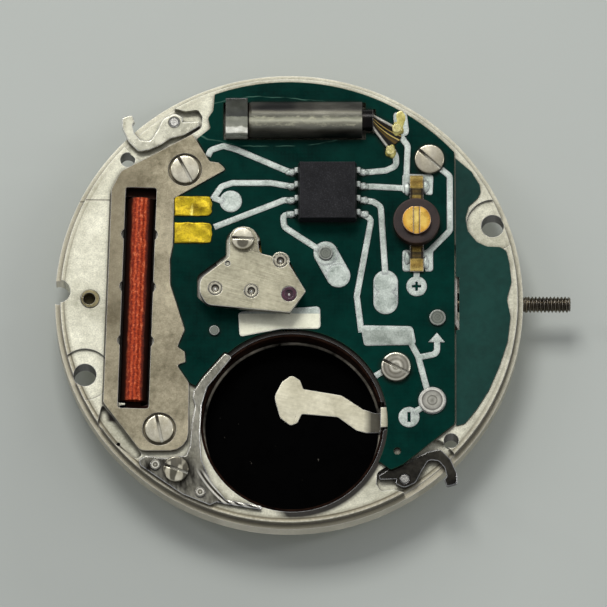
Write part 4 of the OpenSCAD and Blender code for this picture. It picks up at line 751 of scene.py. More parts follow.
class MOVEMENT_OT_board(bpy.types.Operator):
    """Finish of the circuit board, the film beside it, the tracks and the rivets"""

    bl_idname = "movement.board"
    bl_label = "Circuit board"

    def execute(self, context):
        look = context.scene.movement_circuit
        metals = context.scene.movement_metals
        f = Finish("Board varnish", Metallic=0.0, Specular_IOR_Level=0.03)
        cloud = f.use("mottle", Scale=260.0, Low=look.board_dark, High=look.board_light)
        threads = {"Vector": f.where, "Scale": 1500.0, "Distortion": 1.5, "Detail": 1.0}
        waves = [f.add("ShaderNodeTexWave", threads, bands_direction=way) for way in "XY"]
        weave = f.times(*(wave.outputs["Fac"] for wave in waves))
        edge_light_and_shade = f.use("edge", Radius=0.00003)
        lit = f.over(cloud["Color"], look.board_light, weave, 0.25)
        half_x, half_y = 4.9, 1.42
        oval = f.span(f.mapped(f.where, location=(0.9 / half_x, -10.02 / half_y, 0),
                               scale=(1 / (half_x * MM), 1 / (half_y * MM), 0)))
        wander = f.plus(oval, f.patches(420.0, 3, 0.6, 0.3, 0.7, (-0.07, 0.07)))
        glue = f.times(f.within(wander, 1.0, 1.012, 0.018), f.patches(900.0, 2, 0.5, 0.42, 0.6))
        lit = f.over(lit, "#5f8a78", glue, 0.55)
        # Painted highlight on the soft edges and painted shade in the creases.
        base = f.shade_creases(edge_light_and_shade, f.over(lit, "#7d8f5a", edge_light_and_shade["Edge"], 0.3), 0.6)
        f.skin(base, (0.26, 0.4), (15000.0, 500.0), 1.2e-6, edge_light_and_shade, f.times(weave, 0.6))
        dress(f.material, "circuit_board")
        f = Finish("Green film", Metallic=0.0, Specular_IOR_Level=0.1)
        tone = f.use("mottle", Scale=300.0, Low=dim(look.film, 0.7), High=dim(look.film, 1.25))["Color"]
        edge_light_and_shade = f.use("edge", Radius=0.00003)
        # Painted highlight on the soft edges.
        base = f.over(tone, "#8fa08d", edge_light_and_shade["Edge"], 0.4)
        f.skin(base, (0.42, 0.58), (24000.0, 700.0), 2.5e-6, edge_light_and_shade)
        dress(f.material, "edge_film")
        tin = metal("Tinned copper", look.tin_low, look.tin_high, "circuit_tracks", "chip_leads",
                    rough=(0.34, 0.5), cloud=1100.0, grain=(9000.0, 7e-6), edge=(0.00013, 0.85),
                    scratch=0.3, metallic=0.55, speck=0.3, paint=self.tin_paint)
        metal("Rivet nickel", metals.steel_low, metals.steel_high, "board_rivets", rough=(0.3, 0.45),
              cloud=1500.0, grain=(15000.0, 3e-6), edge=(0.00006, 0.6), scratch=0.6, metallic=0.75,
              paint=self.rivet_paint)
        metal("Peened nickel", metals.steel_low, metals.steel_high, "battery_clamp_rivets",
              rough=(0.2, 0.3), cloud=1500.0, edge=(0.00004, 0.8), scratch=0.4, metallic=0.8, speck=0.2,
              paint=self.peened_paint)
        self.solder(tin)
        return {"FINISHED"}

    def rivet_paint(self, f, tone):
        """Dark and light rings round each centre."""
        share = f.nearest(BOARD_RIVETS)
        rings = f.bands(share, 0, 1, "0 #6d6b60, 0.26 #97958a, 0.36 #5c5a50, 0.44 #a09e92, 0.66 #85837a, "
                        "0.76 #45433a, 0.84 #cfcdc2, 1 #8d8b80")
        rims = f.ramp(f.nearest(RIVET_RIMS), 1.05, 1.0)
        return f.over(f.blend(0.9, tone, rings), "#414c44", rims, 0.65)

    def tin_paint(self, f, tone):
        """Painted light on the long pad beside the bridge, brightening it where the bridge's shadow falls;
        the wide track to the minus pad is dull.
        """
        x, y, soft = f.at("X"), f.at("Y"), 0.00002
        pad = f.times(f.within(x, -0.0029, 0.00195, soft), f.within(y, -0.0023, -0.00085, soft))
        wide = f.times(f.within(x, 0.0040, 0.0067, soft), f.within(y, -0.0028, -0.0018, soft))
        # Painted light on the long pad.
        tone = f.over(tone, "#fbf6d8", pad, 0.6)
        return f.over(tone, "#5a5d52", wide, 0.3)

    def peened_paint(self, f, tone):
        """On each clamp rivet, painted shade in the punch's dimple, a painted highlight on the ring round
        it, and painted shade at its edge.
        """
        share = f.nearest(CLAMP_RIVETS)
        rings = f.bands(share, 0, 1, "0 #c9c5b4, 0.2 #8d8978, 0.34 #35301f, 0.5 #8f8a78, 0.64 #f4f1e4, "
                        "0.8 #9a9583, 1 #3b3627")
        return f.blend(0.9, tone, rings)

    def solder(self, tin):
        """A fillet on each foot of the chip's leads and on the trimmer's four corners."""
        low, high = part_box("chip_leads")
        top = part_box("circuit_tracks")[1][2]
        sheets = []
        middle = (low[1] + high[1]) / 2
        for i in range(4):
            y = middle + LEAD_PITCH * MM * (1.5 - i)
            for side, x in ((-1, low[0]), (1, high[0])):
                foot = (x - side * 0.06 * MM, y)
                sheets.append(blob(foot, (0.3 * MM, 0.21 * MM), top, 0.13 * MM, i + 2 * side))
        x, y = TRIMMER
        for i, (dx, dy) in enumerate(((-0.5, 2.0), (0.52, 2.1), (-0.48, -1.95), (0.5, -2.2))):
            centre = (x * MM + dx * MM, y * MM + dy * MM)
            sheets.append(blob(centre, (0.2 * MM, 0.38 * MM), top, 0.07 * MM, i + 0.5))
        piece("solder_fillets", sheets, tin, "movement", "tinned_copper")


class MOVEMENT_OT_chip(bpy.types.Operator):
    """Finish of the chip's body"""

    bl_idname = "movement.chip"
    bl_label = "Chip"

    def execute(self, context):
        look = context.scene.movement_circuit
        f = Finish("Moulded resin", Metallic=0.0, Specular_IOR_Level=0.15)
        tone = f.use("mottle", Scale=800.0, Low=dim(look.chip, 0.75), High=dim(look.chip, 1.6))["Color"]
        edge_light_and_shade = f.use("edge", Radius=0.00006)
        # Painted highlight on the soft edges.
        tone = f.over(tone, "#6a6a6c", edge_light_and_shade["Edge"], 0.25)
        dust = f.patches(16000.0, 3, 0.7, 0.52, 0.75)
        base = f.over(tone, "#4a4a4e", dust, 0.5)
        f.skin(base, (0.42, 0.6), (24000.0, 1100.0), 1.4e-5, edge_light_and_shade)
        dress(f.material, "chip_body")
        return {"FINISHED"}


class MOVEMENT_OT_crystal(bpy.types.Operator):
    """Finish of the crystal's can and of the clear block behind it"""

    bl_idname = "movement.crystal"
    bl_label = "Crystal"

    def execute(self, context):
        metal("Drawn can", "#b3ad98", "#e6e1cb", "crystal_can", rough=(0.34, 0.5), cloud=900.0,
              metallic=0.35, grain=(9000.0, 2e-6), drawn=(0.1, 1, 1), edge=(0.00006, 0.1), scratch=0.7,
              speck=0.5, paint=self.can_paint)
        f = Finish("Clear block", Metallic=0.0, Specular_IOR_Level=0.5, Coat_Weight=0.3)
        # Painted reflection in bands across the block: bright by its near edge, grey to the middle, dark
        # over the far half.
        wave = f.sway(f.noise(f.where, 2500.0, 3, 0.6), 0.0003)
        across = f.plus(f.at("Y"), wave)
        tone = f.bands(across, *CAN_EDGES, "0 #c4c3b4, 0.05 #f6f5e8, 0.15 #eeeddf, 0.19 #929283, "
                       "0.3 #8a8b7d, 0.46 #90917f, 0.49 #2c2e26, 0.72 #3e4035, 0.92 #36382e, 1 #26281f")
        cloud = f.use("mottle", Scale=2600.0, Low="#8a8d80", High="#ffffff")
        edge_light_and_shade = f.use("edge", Radius=0.0001)
        base = f.shade_creases(edge_light_and_shade, f.blend(0.5, tone, cloud["Color"], how="MULTIPLY"), 0.5)
        f.skin(base, (0.12, 0.3), (9000.0, 1400.0), 3e-6, edge_light_and_shade)
        dress(f.material, "crystal_damper")
        metal("Lead wire", "#b7b2a2", "#f1eddf", "crystal_leads", rough=(0.2, 0.32), cloud=2500.0,
              metallic=0.7, grain=(20000.0, 1.5e-6), edge=(0.00004, 0.3), scratch=0.3,
              paint=self.lead_paint)
        self.flux()
        return {"FINISHED"}

    def lead_paint(self, f, tone):
        """Black glass where the wires leave the can, and amber flux over their feet."""
        glass = f.ramp(f.at("X"), 0.00464, 0.00458)
        feet = f.ramp(f.nearest(LEAD_FEET), 1.0, 0.8)
        amber = f.blend(f.noise(f.where, 4000.0, 3, 0.6), "#8c7a1c", "#fff6a8")
        return f.blend(glass, f.over(tone, amber, feet, 0.85), "#0b0907")

    def flux(self):
        """A dark sheet of flux hung between the two wires, with a slow sag, and drops of amber flux on the
        pads. The sheet is ruled between the wires' lines; a point runs along them by u and across by v."""
        u, v = (share[..., None] for share in grid(50, 40))
        first = (np.array([4.58, 10.34, 2.17]) * MM, np.array([6.02, 9.42, 1.99]) * MM)
        second = (np.array([4.58, 9.80, 2.17]) * MM, np.array([5.50, 8.50, 1.99]) * MM)
        line = [a + (b - a) * u for a, b in (first, second)]
        top = line[0] * (1 - v) + line[1] * v
        top = top + np.array([1, 0.25, 0]) * 0.00035 * (u**3 * np.sin(np.pi * v))
        wave = 0.5 + 0.5 * np.sin(14 * v + 2 * u) * np.sin(3 * u + 1)
        sag = np.sin(np.pi * v) * (0.6 + 0.4 * wave) * np.sin(np.pi * np.clip(u, 0.02, 0.98))
        top = top - np.array([0, 0, 0.00004]) * sag
        sheets = closed(top, top - (0, 0, 0.00003))
        f = Finish("Dark flux", Metallic=0.0, Coat_Weight=0.2, Coat_Roughness=0.1, Specular_IOR_Level=0.2)
        fan = f.add("ShaderNodeUVMap", uv_map="UVMap").outputs[0]
        bend = f.sway(f.noise(f.where, 1800.0, 3, 0.6), 0.1)
        across = f.plus(f.axis(fan, "X"), bend)
        tone = f.bands(across, 0, 1, "0 #0e0b06, 0.12 #1e170b, 0.3 #080604, 0.36 #b89c50, 0.4 #120e07, "
                       "0.55 #0a0704, 0.6 #d6bd6c, 0.64 #1e170a, 0.78 #5c4712, 0.84 #0c0904, 1 #120e06")
        f.skin(tone, (0.2, 0.4), (9000.0, 1400.0), 4e-6)
        piece("flux_sheet", sheets, f.material, "movement", "lead_wire")
        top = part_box("circuit_tracks")[1][2]
        drops = [blob((6.12 * MM, 10.15 * MM), (0.24 * MM, 0.5 * MM), top, 0.02 * MM, 0.4),
                 blob((5.95 * MM, 9.58 * MM), (0.32 * MM, 0.4 * MM), top, 0.23 * MM, 2.0),
                 blob((5.58 * MM, 8.32 * MM), (0.29 * MM, 0.38 * MM), top, 0.23 * MM, 4.1)]
        f = Finish("Amber flux", Metallic=0.15, Coat_Weight=0.7, Coat_Roughness=0.08)
        amber = f.use("mottle", Scale=2600.0, Low="#8a7a18", High="#eee48c")["Color"]
        f.skin(amber, (0.15, 0.35), (8000.0, 1800.0), 8e-6)
        piece("amber_flux", drops, f.material, "movement", "tongue_gold")

    def can_paint(self, f, tone):
        """Painted light in bands along the can: dark brown at its far edge, a painted highlight streak, and
        painted shade down to the near edge.
        """
        wave = f.noise(f.mapped(f.where, scale=(0.3, 1, 1)), 3000.0, 3, 0.6)
        wave = f.sway(wave, 0.00016)
        across = f.plus(f.at("Y"), wave)
        bands = f.bands(across, *CAN_EDGES, "0 #030302, 0.05 #060503, 0.09 #121109, 0.14 #35342a, "
                        "0.19 #64645a, 0.3 #8f8d7b, 0.36 #cbc9b2, 0.42 #a3a28c, 0.475 #545448, "
                        "0.55 #454337, 0.6 #3c3926, 0.65 #1d180b, 0.7 #0a0804, 1 #040302")
        glow = f.patches(700.0, 2, 0.5, 0.3, 0.65, (0.88, 1.0), scale=(0.5, 1, 1))
        tone = f.blend(glow, tone, bands)
        grains = f.patches(5200.0, 3, 0.7, 0.5, 0.68, scale=(0.45, 1, 1))
        # Painted highlight: a grainy bright streak.
        streak = f.within(across, 0.00954, 0.00995, 0.00014)
        tone = f.over(tone, "#dedabb", grains, streak, 0.5)
        glass = f.ramp(f.at("X"), 0.00400, 0.00403)
        return f.blend(glass, tone, "#0a0806")


class MOVEMENT_OT_trimmer(bpy.types.Operator):
    """Finish of the trimmer's ceramic, its strips and its rotor"""

    bl_idname = "movement.trimmer"
    bl_label = "Trimmer"

    def execute(self, context):
        look = context.scene.movement_metals
        f = Finish("Glazed ceramic", Metallic=0.0, Coat_Weight=0.08, Coat_Roughness=0.2,
                   Specular_IOR_Level=0.3)
        tone = f.use("mottle", Scale=900.0, Low="#1a0e09", High="#33211a")
        edge_light_and_shade = f.use("edge", Radius=0.0001)
        # Painted highlight on the soft edges.
        base = f.over(tone["Color"], "#6b5247", edge_light_and_shade["Edge"], 0.4)
        f.skin(base, (0.32, 0.5), (14000.0, 900.0), 4e-6, edge_light_and_shade)
        dress(f.material, "trimmer_base")
        metal("Gilt brass", "#dcb450", "#f7e08c", "trimmer_rotor", rough=(0.24, 0.36), cloud=900.0,
              grain=(11000.0, 1e-6), edge=(0.00006, 0.6), scratch=0.2, metallic=0.6, speck=0.0,
              paint=self.rotor_paint)
        metal("Tarnished brass", "#7a6a3a", "#cdb878", "trimmer_strips", rough=(0.3, 0.45), cloud=1600.0,
              grain=(9000.0, 4e-6), edge=(0.00006, 0.6), scratch=0.5, metallic=0.75, speck=0.5,
              paint=self.strip_paint)
        return {"FINISHED"}

    def rotor_paint(self, f, tone):
        """The slot's floor catches the light between two dark walls, and the disc darkens to its rim."""
        aside = f.axis(f.mapped(f.where, location=(-TRIMMER[0] * MM, -TRIMMER[1] * MM, 0)), "X")
        slot = f.bands(aside, -0.00026, 0.00026, "0 #eee0b8, 0.13 #dcc898, 0.17 #806428, 0.24 #fffdf0, "
                       "0.5 #fffdf0, 0.68 #faeec0, 0.8 #806428, 0.86 #dcc898, 1 #eee0b8")
        rim = f.bands(f.reach(*TRIMMER), 0.0005, 0.00079, "0 #ffffff, 0.7 #f6e6c4, 0.9 #dcc088, 1 #967440")
        return f.blend(1.0, f.blend(1.0, tone, slot, how="MULTIPLY"), rim, how="MULTIPLY")

    def strip_paint(self, f, tone):
        """Painted light and shade of steps folded across each strip: painted shade in a fold by the ceramic,
        a painted highlight on the tab at the end.
        """
        middle_x = 6.98
        away = f.maths("ABSOLUTE", f.minus(f.at("Y"), TRIMMER[1] * MM))
        aside = f.maths("ABSOLUTE", f.minus(f.at("X"), middle_x * MM))
        steps = f.bands(away, 0.00125, 0.00275, "0 #2b2412, 0.1 #c9b070, 0.2 #fff4cc, 0.26 #241c0c, "
                        "0.4 #6b5a34, 0.46 #1a140a, 0.54 #f7eabc, 0.74 #c9b278, 0.9 #fff8dc, 1 #5a4a28")
        # Painted shade in the notches beside each strip's narrow neck.
        waist_shade = f.times(f.ramp(aside, 0.00020, 0.00026), f.within(away, 0.0014, 0.00195, 0.00008))
        return f.over(f.blend(0.9, tone, steps, how="MULTIPLY"), "#120c05", waist_shade, 0.9)


class MOVEMENT_OT_coil(bpy.types.Operator):
    """The winding as close rows of wire, the wrinkled tongues, and the finish of cover, core and stator"""

    bl_idname = "movement.coil"
    bl_label = "Coil"

    def execute(self, context):
        look = context.scene.movement_coil
        metals = context.scene.movement_metals
        metal("Mottled cover", metals.cover_low, metals.cover_high, "coil_cover", rough=(0.36, 0.5),
              cloud=420.0, grain=(22000.0, 4e-6), edge=(0.00006, 0.6), scratch=0.5, paint=self.cover_paint)
        metal("Magnetic alloy", "#6c6a63", "#9a978d", "stator", rough=(0.34, 0.5), edge=(0.00004, 0.4))
        metal("Shaded alloy", "#6c6a63", "#9a978d", "coil_core", rough=(0.34, 0.5), edge=(0.00004, 0.4),
              paint=self.core_paint)
        self.winding(look)
        self.tongues(look)
        return {"FINISHED"}

    def cover_paint(self, f, tone):
        """Browner and darker towards the arm at the rim."""
        left, upper = f.ramp(f.at("X"), -0.0072, -0.0088), f.ramp(f.at("Y"), -0.006, -0.001)
        return f.over(tone, "#5c5443", left, upper, 0.5)

    def core_paint(self, f, tone):
        """Painted shade on the bar where it runs into the winding."""
        room = coil_space(f)
        inside = f.ramp(f.maths("ABSOLUTE", f.axis(room, "Y")), 0.0068, 0.0066)
        return f.over(tone, "#1c0805", inside, 0.97)

    def winding(self, look):
        """A cylinder along the coil's leaning axis. Its radius swells and sinks with each turn of wire and,
        more slowly, where the layers change over; both stay inside the CAD cylinder."""
        low, high = (np.array(v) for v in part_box("coil_winding"))
        centre = (low + high) / 2
        radius = (high[2] - low[2]) / 2
        half = ((high[1] - low[1]) / 2 - radius * math.sin(COIL_LEAN)) / math.cos(COIL_LEAN)
        along = np.linspace(-half, half, look.turns)[:, None]
        angle = round_angles(96)
        turn = np.sin(2 * np.pi * along / look.pitch + angle)
        swell = np.sin(along * 2300 + 1.3 * np.sin(along * 900)) * 0.5
        swell = swell + np.sin(along * 5100 + 2 * angle) * 0.3
        ripple = 4e-6
        r = radius + ripple * (turn + swell - 2)
        wound = np.stack([r * np.cos(angle), along + 0 * angle, r * np.sin(angle)], axis=-1)
        core = (0.55, 1, 0.3)
        first = np.concatenate([wound[:1] * core, wound[:1]])
        last = np.concatenate([wound[-1:], wound[-1:] * core])
        c, n = math.cos(COIL_LEAN), math.sin(COIL_LEAN)
        turned = np.array([[c, n, 0], [-n, c, 0], [0, 0, 1]])
        sheets = [(p @ turned.T + centre, True) for p in (first, wound, last)]
        f = Finish("Enamelled wire", Metallic=0.1, Specular_IOR_Level=0.15)
        straight = f.mapped(f.mapped(f.where, location=tuple(-centre)), turn=COIL_LEAN)
        drift = f.sway(f.noise(straight, 1300.0, 3, 0.6), 0.00022)
        aside = f.plus(f.axis(straight, "X"), drift)
        # Painted light along the winding's top, painted shade down its sides.
        lit_band = f.ramp(f.maths("ABSOLUTE", aside), 0.00050, 0.00030)
        strand = f.maths("SINE", f.times(aside, 2 * math.pi / 0.00023))
        weave = f.noise(f.mapped(straight, scale=(0.35, 1, 1)), 14000.0, 2, 0.6)
        knots = f.noise(f.mapped(straight, scale=(1, 0.6, 1)), 7000.0, 3, 0.7)
        tone = f.plus(f.times(strand, 0.10), f.times(f.plus(weave, knots), 0.5))
        lit = f.blend(f.ramp(tone, 0.34, 0.66), look.wire_low, look.wire_high)
        # Painted highlights: glints on the knots of the wire.
        glints = f.ramp(f.plus(knots, f.times(strand, 0.04)), 0.55, 0.7, (0, 0.75))
        lit = f.blend(glints, lit, "#ea8458")
        edge_light_and_shade = f.use("edge", Radius=0.00002, Reach=0.0006)
        f.set(
            Base_Color=f.shade_creases(edge_light_and_shade, f.blend(lit_band, "#2a0805", lit), 0.5),
            Roughness=f.ramp(knots, 0.3, 0.7, (0.38, 0.55)),
            Normal=f.bump(tone, 1.4e-5),
        )
        piece("wound_wire", sheets, f.material, "movement", "copper_wire", "coil_winding")

    def tongues(self, look):
        """Two foil tongues: a flat grid whose height is slow waves less two crossing rows of straight folds,
        scaled to the foil's room; the outline draws in at the free end, and an even underside closes it."""
        low, high = (np.array(v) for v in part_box("coil_terminals"))
        u, v = grid(110, 70)
        sheets = []
        for k, (y0, y1) in enumerate(((3.13, 4.3), (4.67, 5.79))):
            edge = np.minimum.reduce([u, 1 - u, v, 1 - v])
            inside = np.clip(edge / 0.05, 0, 1) ** 0.5
            across = 0.5 + (v - 0.5) * (1 - 0.09 * u**10 - 0.02 * np.sin(9 * u + k) ** 2)
            drawn = 1.2 * (2 * v - 1) ** 4 + 0.35 * np.sin(7 * v + 2 * k) ** 2
            x = low[0] + (high[0] - low[0]) * (u - 0.05 * u**6 * drawn)
            y = (y0 + (y1 - y0) * across) * MM
            fold = np.abs((1.1 * u + 0.8 * v + 0.3 * k) % 0.9 - 0.45) * 1.5
            fold = fold + np.abs((1.1 * v - 0.6 * u + 0.4 * k) % 0.8 - 0.4) * 1.3
            wave = np.sin(5 * u + 3 * v + 2 * k) * 0.8 + np.sin(11 * u * v + 4 * u + k) * 0.6 - fold
            wave = (wave - wave.min()) / np.ptp(wave)
            z = low[2] + (high[2] - low[2]) * (0.15 + 0.7 * inside * wave)
            top = np.stack([x, y, z], axis=-1)
            sheets += closed(top, top * (1, 1, 0) + (0, 0, low[2]))
        f = Finish("Gold foil", Metallic=0.7)
        tone = f.use("mottle", Scale=1500.0, Low=look.gold_low, High=look.gold_high)["Color"]
        # Painted highlights in streaks over the foil.
        painted_gleam = f.patches(2600.0, 3, 0.6, 0.6, 0.75, turn=0.7, scale=(1, 0.25, 1))
        f.skin(f.blend(painted_gleam, tone, "#ffee7a"), (0.32, 0.5), (9000.0, 1800.0), 6e-6)
        piece("foil_tongues", sheets, f.material, "movement", "tongue_gold", "coil_terminals")


class MOVEMENT_OT_screws(bpy.types.Operator):
    """Turned and polished heads for the slotted screws"""

    bl_idname = "movement.screws"
    bl_label = "Screws"

    def execute(self, context):
        look = context.scene.movement_metals
        steel = head_steel()
        head, shank = 0.32 * MM, 0.3 * MM
        for name, node, places in SCREWS:
            low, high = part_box(node)
            middles = [place[0] * MM for place in places]
            radius = max(high[0] - max(middles), min(middles) - low[0])
            below = high[2] - head - low[2]
            sheets = []
            for x, y, turn in places:
                place = (x * MM, y * MM)
                sheets += screw_sheets(place, high[2], head, radius, math.radians(turn), shank, below)
            piece(name, sheets, steel, "movement", "screw_steel", node)
        metal("Screw steel", look.steel_low, look.steel_high, "motion_cover_screws", rough=(0.2, 0.3))
        return {"FINISHED"}


class MOVEMENT_OT_train(bpy.types.Operator):
    """Finish of the bridge, its bushes and jewel, and of the wheels"""

    bl_idname = "movement.train"
    bl_label = "Train"

    def execute(self, context):
        look = context.scene.movement_metals
        metal("Brushed nickel", "#8f8a74", "#c2bca2", "train_bridge", rough=(0.26, 0.38), cloud=600.0,
              grain=(15000.0, 6e-6), drawn=(0.06, 1, 1), turn=0.3, edge=(0.00008, 0.9), scratch=0.5,
              metallic=0.8, paint=self.bridge_paint)
        metal("Turned bush", "#cdc8b8", "#f3efe2", "bridge_bushes", rough=(0.14, 0.24), cloud=1500.0,
              grain=(14000.0, 8e-7), edge=(0.00004, 0.3), scratch=0.2, metallic=0.75, speck=0.1,
              paint=self.bush_paint)
        metal("Wheel brass", look.brass_low, look.brass_high, "rotor_pinion", "intermediate_wheel",
              "seconds_wheel", "third_wheel", "centre_wheel", "hour_wheel", "minute_wheel",
              rough=(0.24, 0.36), cloud=900.0, grain=(15000.0, 3e-6), edge=(0.00002, 0.5), scratch=0.4,
              paint=self.pivot_paint)
        f = Finish("Polished stone", Metallic=0.0, Coat_Weight=0.8, Coat_Roughness=0.03, Roughness=0.12)
        tone = f.use("mottle", Scale=2500.0, Low="#2a0f1c", High="#55283a")["Color"]
        edge_light_and_shade = f.use("edge", Radius=0.00006)
        # Painted highlight on the soft edges.
        f.set(Base_Color=f.over(tone, "#8d7484", edge_light_and_shade["Edge"], 0.3), Normal=edge_light_and_shade["Normal"])
        dress(f.material, "centre_jewel")
        metal("Sintered magnet", "#45454a", "#6d6d70", "rotor_magnet", rough=(0.4, 0.55), cloud=1800.0)
        return {"FINISHED"}

    def bridge_paint(self, f, tone):
        """The bridge's sides stand in the shade of the board."""
        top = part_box("train_bridge")[1][2]
        return f.blend(f.ramp(f.at("Z"), top - 0.00007, top - 0.00012, (0, 0.9)), tone, "#14110b")

    def pivot_paint(self, f, tone):
        """The pivots that show in the bushes are steel."""
        return f.blend(f.ramp(f.at("Z"), 0.00262, 0.00264), tone, "#f2f0e8")

    def bush_paint(self, f, tone):
        """Rings round each bush: painted shade as a dark outline, a painted highlight on the face, painted
        shade in the groove, a painted highlight in the cup, and black painted shade in the hole.
        """
        share = f.nearest(BUSHES)
        rings = f.bands(share, 0, 1, "0 #0a0907, 0.2 #17140f, 0.27 #fffdf2, 0.4 #a29c8a, 0.5 #4d483c, "
                        "0.58 #14110c, 0.64 #e9e4d4, 0.78 #fffdf4, 0.9 #c9c3b2, 1 #4d483b")
        return f.blend(0.9, tone, rings, how="MULTIPLY")


class MOVEMENT_OT_setting(bpy.types.Operator):
    """Finish of the stem, the setting works and the motion work's steel"""

    bl_idname = "movement.setting"
    bl_label = "Setting works"

    def execute(self, context):
        look = context.scene.movement_metals
        stem = metal("Stem steel", "#4a4030", "#857a62", rough=(0.24, 0.38), cloud=900.0,
                     grain=(12000.0, 4e-6), drawn=(1, 0.2, 1), edge=(0.00006, 0.4), scratch=0.6)
        self.threaded_stem(stem)
        metal("Hardened steel", look.steel_low, look.steel_high, "sliding_pinion", "setting_wheel",
              "cannon_pinion", "motion_posts", "lever_posts", "dial_clamp_pins", rough=(0.2, 0.32),
              edge=(0.00003, 0.4))
        metal("Stamped steel", look.steel_low, look.steel_high, "setting_lever", "yoke", "lever_jumper",
              "motion_cover", rough=(0.28, 0.4), cloud=700.0, grain=(14000.0, 4e-6), drawn=(1, 0.2, 1),
              turn=0.6, edge=(0.00004, 0.5), scratch=0.6)
        return {"FINISHED"}

    def threaded_stem(self, steel):
        """The stem as one surface: the radius is a function of the place along it and of the angle round it.
        It follows the stepped profile, is a square's outline on the square, and on the thread dips by a
        rounded saw tooth whose phase is the place over the pitch less one turn of the angle."""
        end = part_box("stem")[1][0] / MM
        steps = [(2.4, 0), (2.4, 0.09), (2.45, 0.12), (3.9, 0.12), (3.9, -0.21), (7.6, -0.21), (7.6, 0.35),
                 (9.6, 0.35), (9.6, 0.42), (9.89, 0.42), (9.89, 0.25), (10.2, 0.25), (10.42, 0.46),
                 (12.4, 0.46), (12.9, 0.39)]
        thread = np.linspace(12.95, end - 0.02, 200)
        places = np.array([p[0] for p in steps] + list(thread) + [end, end])
        radii = np.array([p[1] for p in steps] + [0.45] * len(thread) + [0.34, 0])
        angle = round_angles(64)
        round_r = np.abs(radii)[:, None] + 0 * angle
        square = 1 / np.maximum(np.abs(np.cos(angle)), np.abs(np.sin(angle)))
        r = np.where(radii[:, None] < 0, round_r * square, round_r)
        tooth = np.abs(((places[:, None] / 0.2 - angle / (2 * np.pi)) % 1) * 2 - 1)
        dip = np.clip(tooth * 1.35 - 0.15, 0, 1) * 0.11
        near = np.clip((places[:, None] - 12.95) / 0.15, 0, 1)
        on = (places[:, None] > 12.94) & (places[:, None] < end - 0.01)
        r = np.where(on, np.minimum(r - dip * near, 0.34 + (end - places[:, None]) * 0.9), r)
        x = places[:, None] + 0 * angle
        points = np.stack([x, r * np.cos(angle), 0.6 + r * np.sin(angle)], axis=-1) * MM
        piece("threaded_stem", [(points, True)], steel, "stem", "stem_steel", "stem")


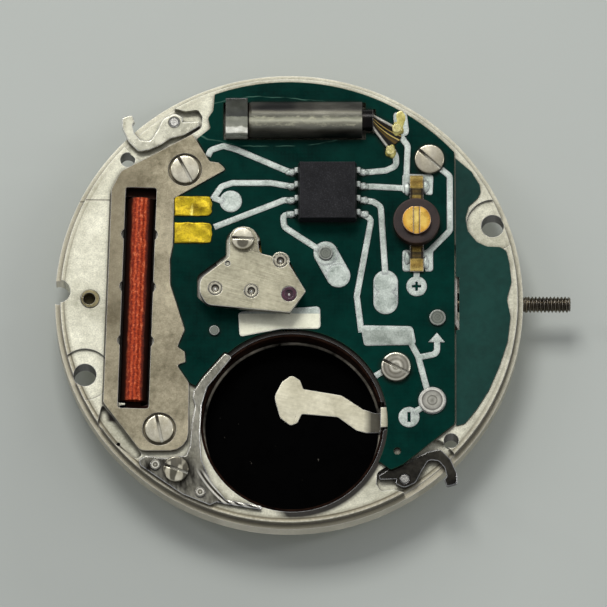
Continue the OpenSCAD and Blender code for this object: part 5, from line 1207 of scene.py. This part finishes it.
class MOVEMENT_OT_stage(bpy.types.Operator):
    """Floor, lamps, world and camera"""

    bl_idname = "movement.stage"
    bl_label = "Studio"

    def execute(self, context):
        look = context.scene.movement_stage
        scene = context.scene
        scene.view_settings.view_transform = "Standard"
        low = CAD_BOX[0][2] - 0.00005
        side = 0.6
        v, u = np.meshgrid(np.linspace(-side, side, 9), np.linspace(-side, side, 9), indexing="ij")
        mesh = grid_mesh("floor", [(np.stack([u, v, np.full_like(u, low)], axis=-1), False)], closes=False)
        f = Finish("Pale floor", Metallic=0.0, Roughness=0.7)
        tone = f.use("mottle", Scale=30.0, Low=dim(look.floor, 0.985), High=look.floor)
        # Painted shadow on the floor, darkest to the lower left of the movement.
        painted_shadow = f.ramp(f.reach(-7.6, -10.95), 0.0075, 0.0205, (0.86, 1.0))
        f.set(Base_Color=f.blend(painted_shadow, [0, 0, 0], tone["Color"]))
        passing = f.add("ShaderNodeLightPath").outputs["Is Shadow Ray"]
        under = f.maths("MAXIMUM", f.add("ShaderNodeNewGeometry").outputs["Backfacing"], passing)
        nothing = f.add("ShaderNodeBsdfTransparent").outputs[0]
        clear = f.add("ShaderNodeMixShader", {0: under, 1: f.shader.outputs[0], 2: nothing})
        f.tree.links.new(clear.outputs[0], f.output.inputs[0])
        floor = bpy.data.objects.new("floor", mesh)
        mesh.materials.append(f.material)
        scene.collection.objects.link(floor)
        world = bpy.data.worlds.new("Studio")
        world.use_nodes = True
        sky = world.node_tree.nodes["Background"].inputs
        sky["Color"].default_value = (0.93, 0.95, 1.0, 1)
        sky["Strength"].default_value = look.sky
        scene.world = world
        target = np.array([0.00079, -0.00021, 0.0017])
        self.lamp(scene, "Key", look.key, (-0.05, 0.20, 0.28), (0.15, 0.12), target)
        self.lamp(scene, "Side left", look.fill, (-0.28, 0.14, 0.20), (0.05, 0.2), target)
        self.lamp(scene, "Side right", look.fill, (0.28, 0.05, 0.20), (0.05, 0.2), target)
        self.lamp(scene, "Under", look.under, (0.02, -0.05, -0.30), (0.2, 0.2), target)
        camera = bpy.data.cameras.new("Camera")
        camera.sensor_width = 36
        camera.lens = look.lens
        camera.clip_start = 0.01
        camera.clip_end = 10
        eye = bpy.data.objects.new("Camera", camera)
        away = np.array([0, -math.sin(look.tilt), math.cos(look.tilt)])
        eye.location = target + away * look.distance
        eye.rotation_euler = (look.tilt, 0, 0)
        scene.collection.objects.link(eye)
        scene.camera = eye
        return {"FINISHED"}

    def lamp(self, scene, name, power, place, size, target):
        """Rectangular lamp that faces the target."""
        data = bpy.data.lights.new(name, "AREA")
        data.shape = "RECTANGLE"
        data.size, data.size_y = size
        data.energy = power
        thing = bpy.data.objects.new(name, data)
        thing.location = place
        thing.rotation_euler = (Vector(target) - Vector(place)).to_track_quat("-Z", "Y").to_euler()
        scene.collection.objects.link(thing)


STEPS = ("plate", "well", "board", "chip", "crystal", "trimmer", "coil", "screws", "train", "setting",
         "stage")


class MOVEMENT_PT_panel(bpy.types.Panel):
    """Lists the pieces and the sizes and colours they use"""

    bl_idname = "MOVEMENT_PT_panel"
    bl_label = "Watch movement"
    bl_space_type = "VIEW_3D"
    bl_region_type = "UI"
    bl_category = "Movement"

    def draw(self, context):
        for step in STEPS:
            self.layout.operator("movement." + step)
        for name, _ in GROUPS_OF_SETTINGS:
            settings = getattr(context.scene, name)
            box = self.layout.box()
            for key in settings.__annotations__:
                box.prop(settings, key)


GROUPS_OF_SETTINGS = (
    ("movement_stage", MovementStage),
    ("movement_metals", MovementMetals),
    ("movement_circuit", MovementCircuit),
    ("movement_coil", MovementCoil),
)
CLASSES = (
    MovementStage, MovementMetals, MovementCircuit, MovementCoil, MOVEMENT_OT_plate, MOVEMENT_OT_well,
    MOVEMENT_OT_board, MOVEMENT_OT_chip, MOVEMENT_OT_crystal, MOVEMENT_OT_trimmer, MOVEMENT_OT_coil,
    MOVEMENT_OT_screws, MOVEMENT_OT_train, MOVEMENT_OT_setting, MOVEMENT_OT_stage, MOVEMENT_PT_panel,
)


def register():
    for cls in CLASSES:
        bpy.utils.register_class(cls)
    for name, cls in GROUPS_OF_SETTINGS:
        setattr(bpy.types.Scene, name, PointerProperty(type=cls))


def unregister():
    for name, _ in GROUPS_OF_SETTINGS:
        delattr(bpy.types.Scene, name)
    for cls in reversed(CLASSES):
        bpy.utils.unregister_class(cls)


def main():
    register()
    for step in STEPS:
        getattr(bpy.ops.movement, step)()


if __name__ == "__main__":
    main()
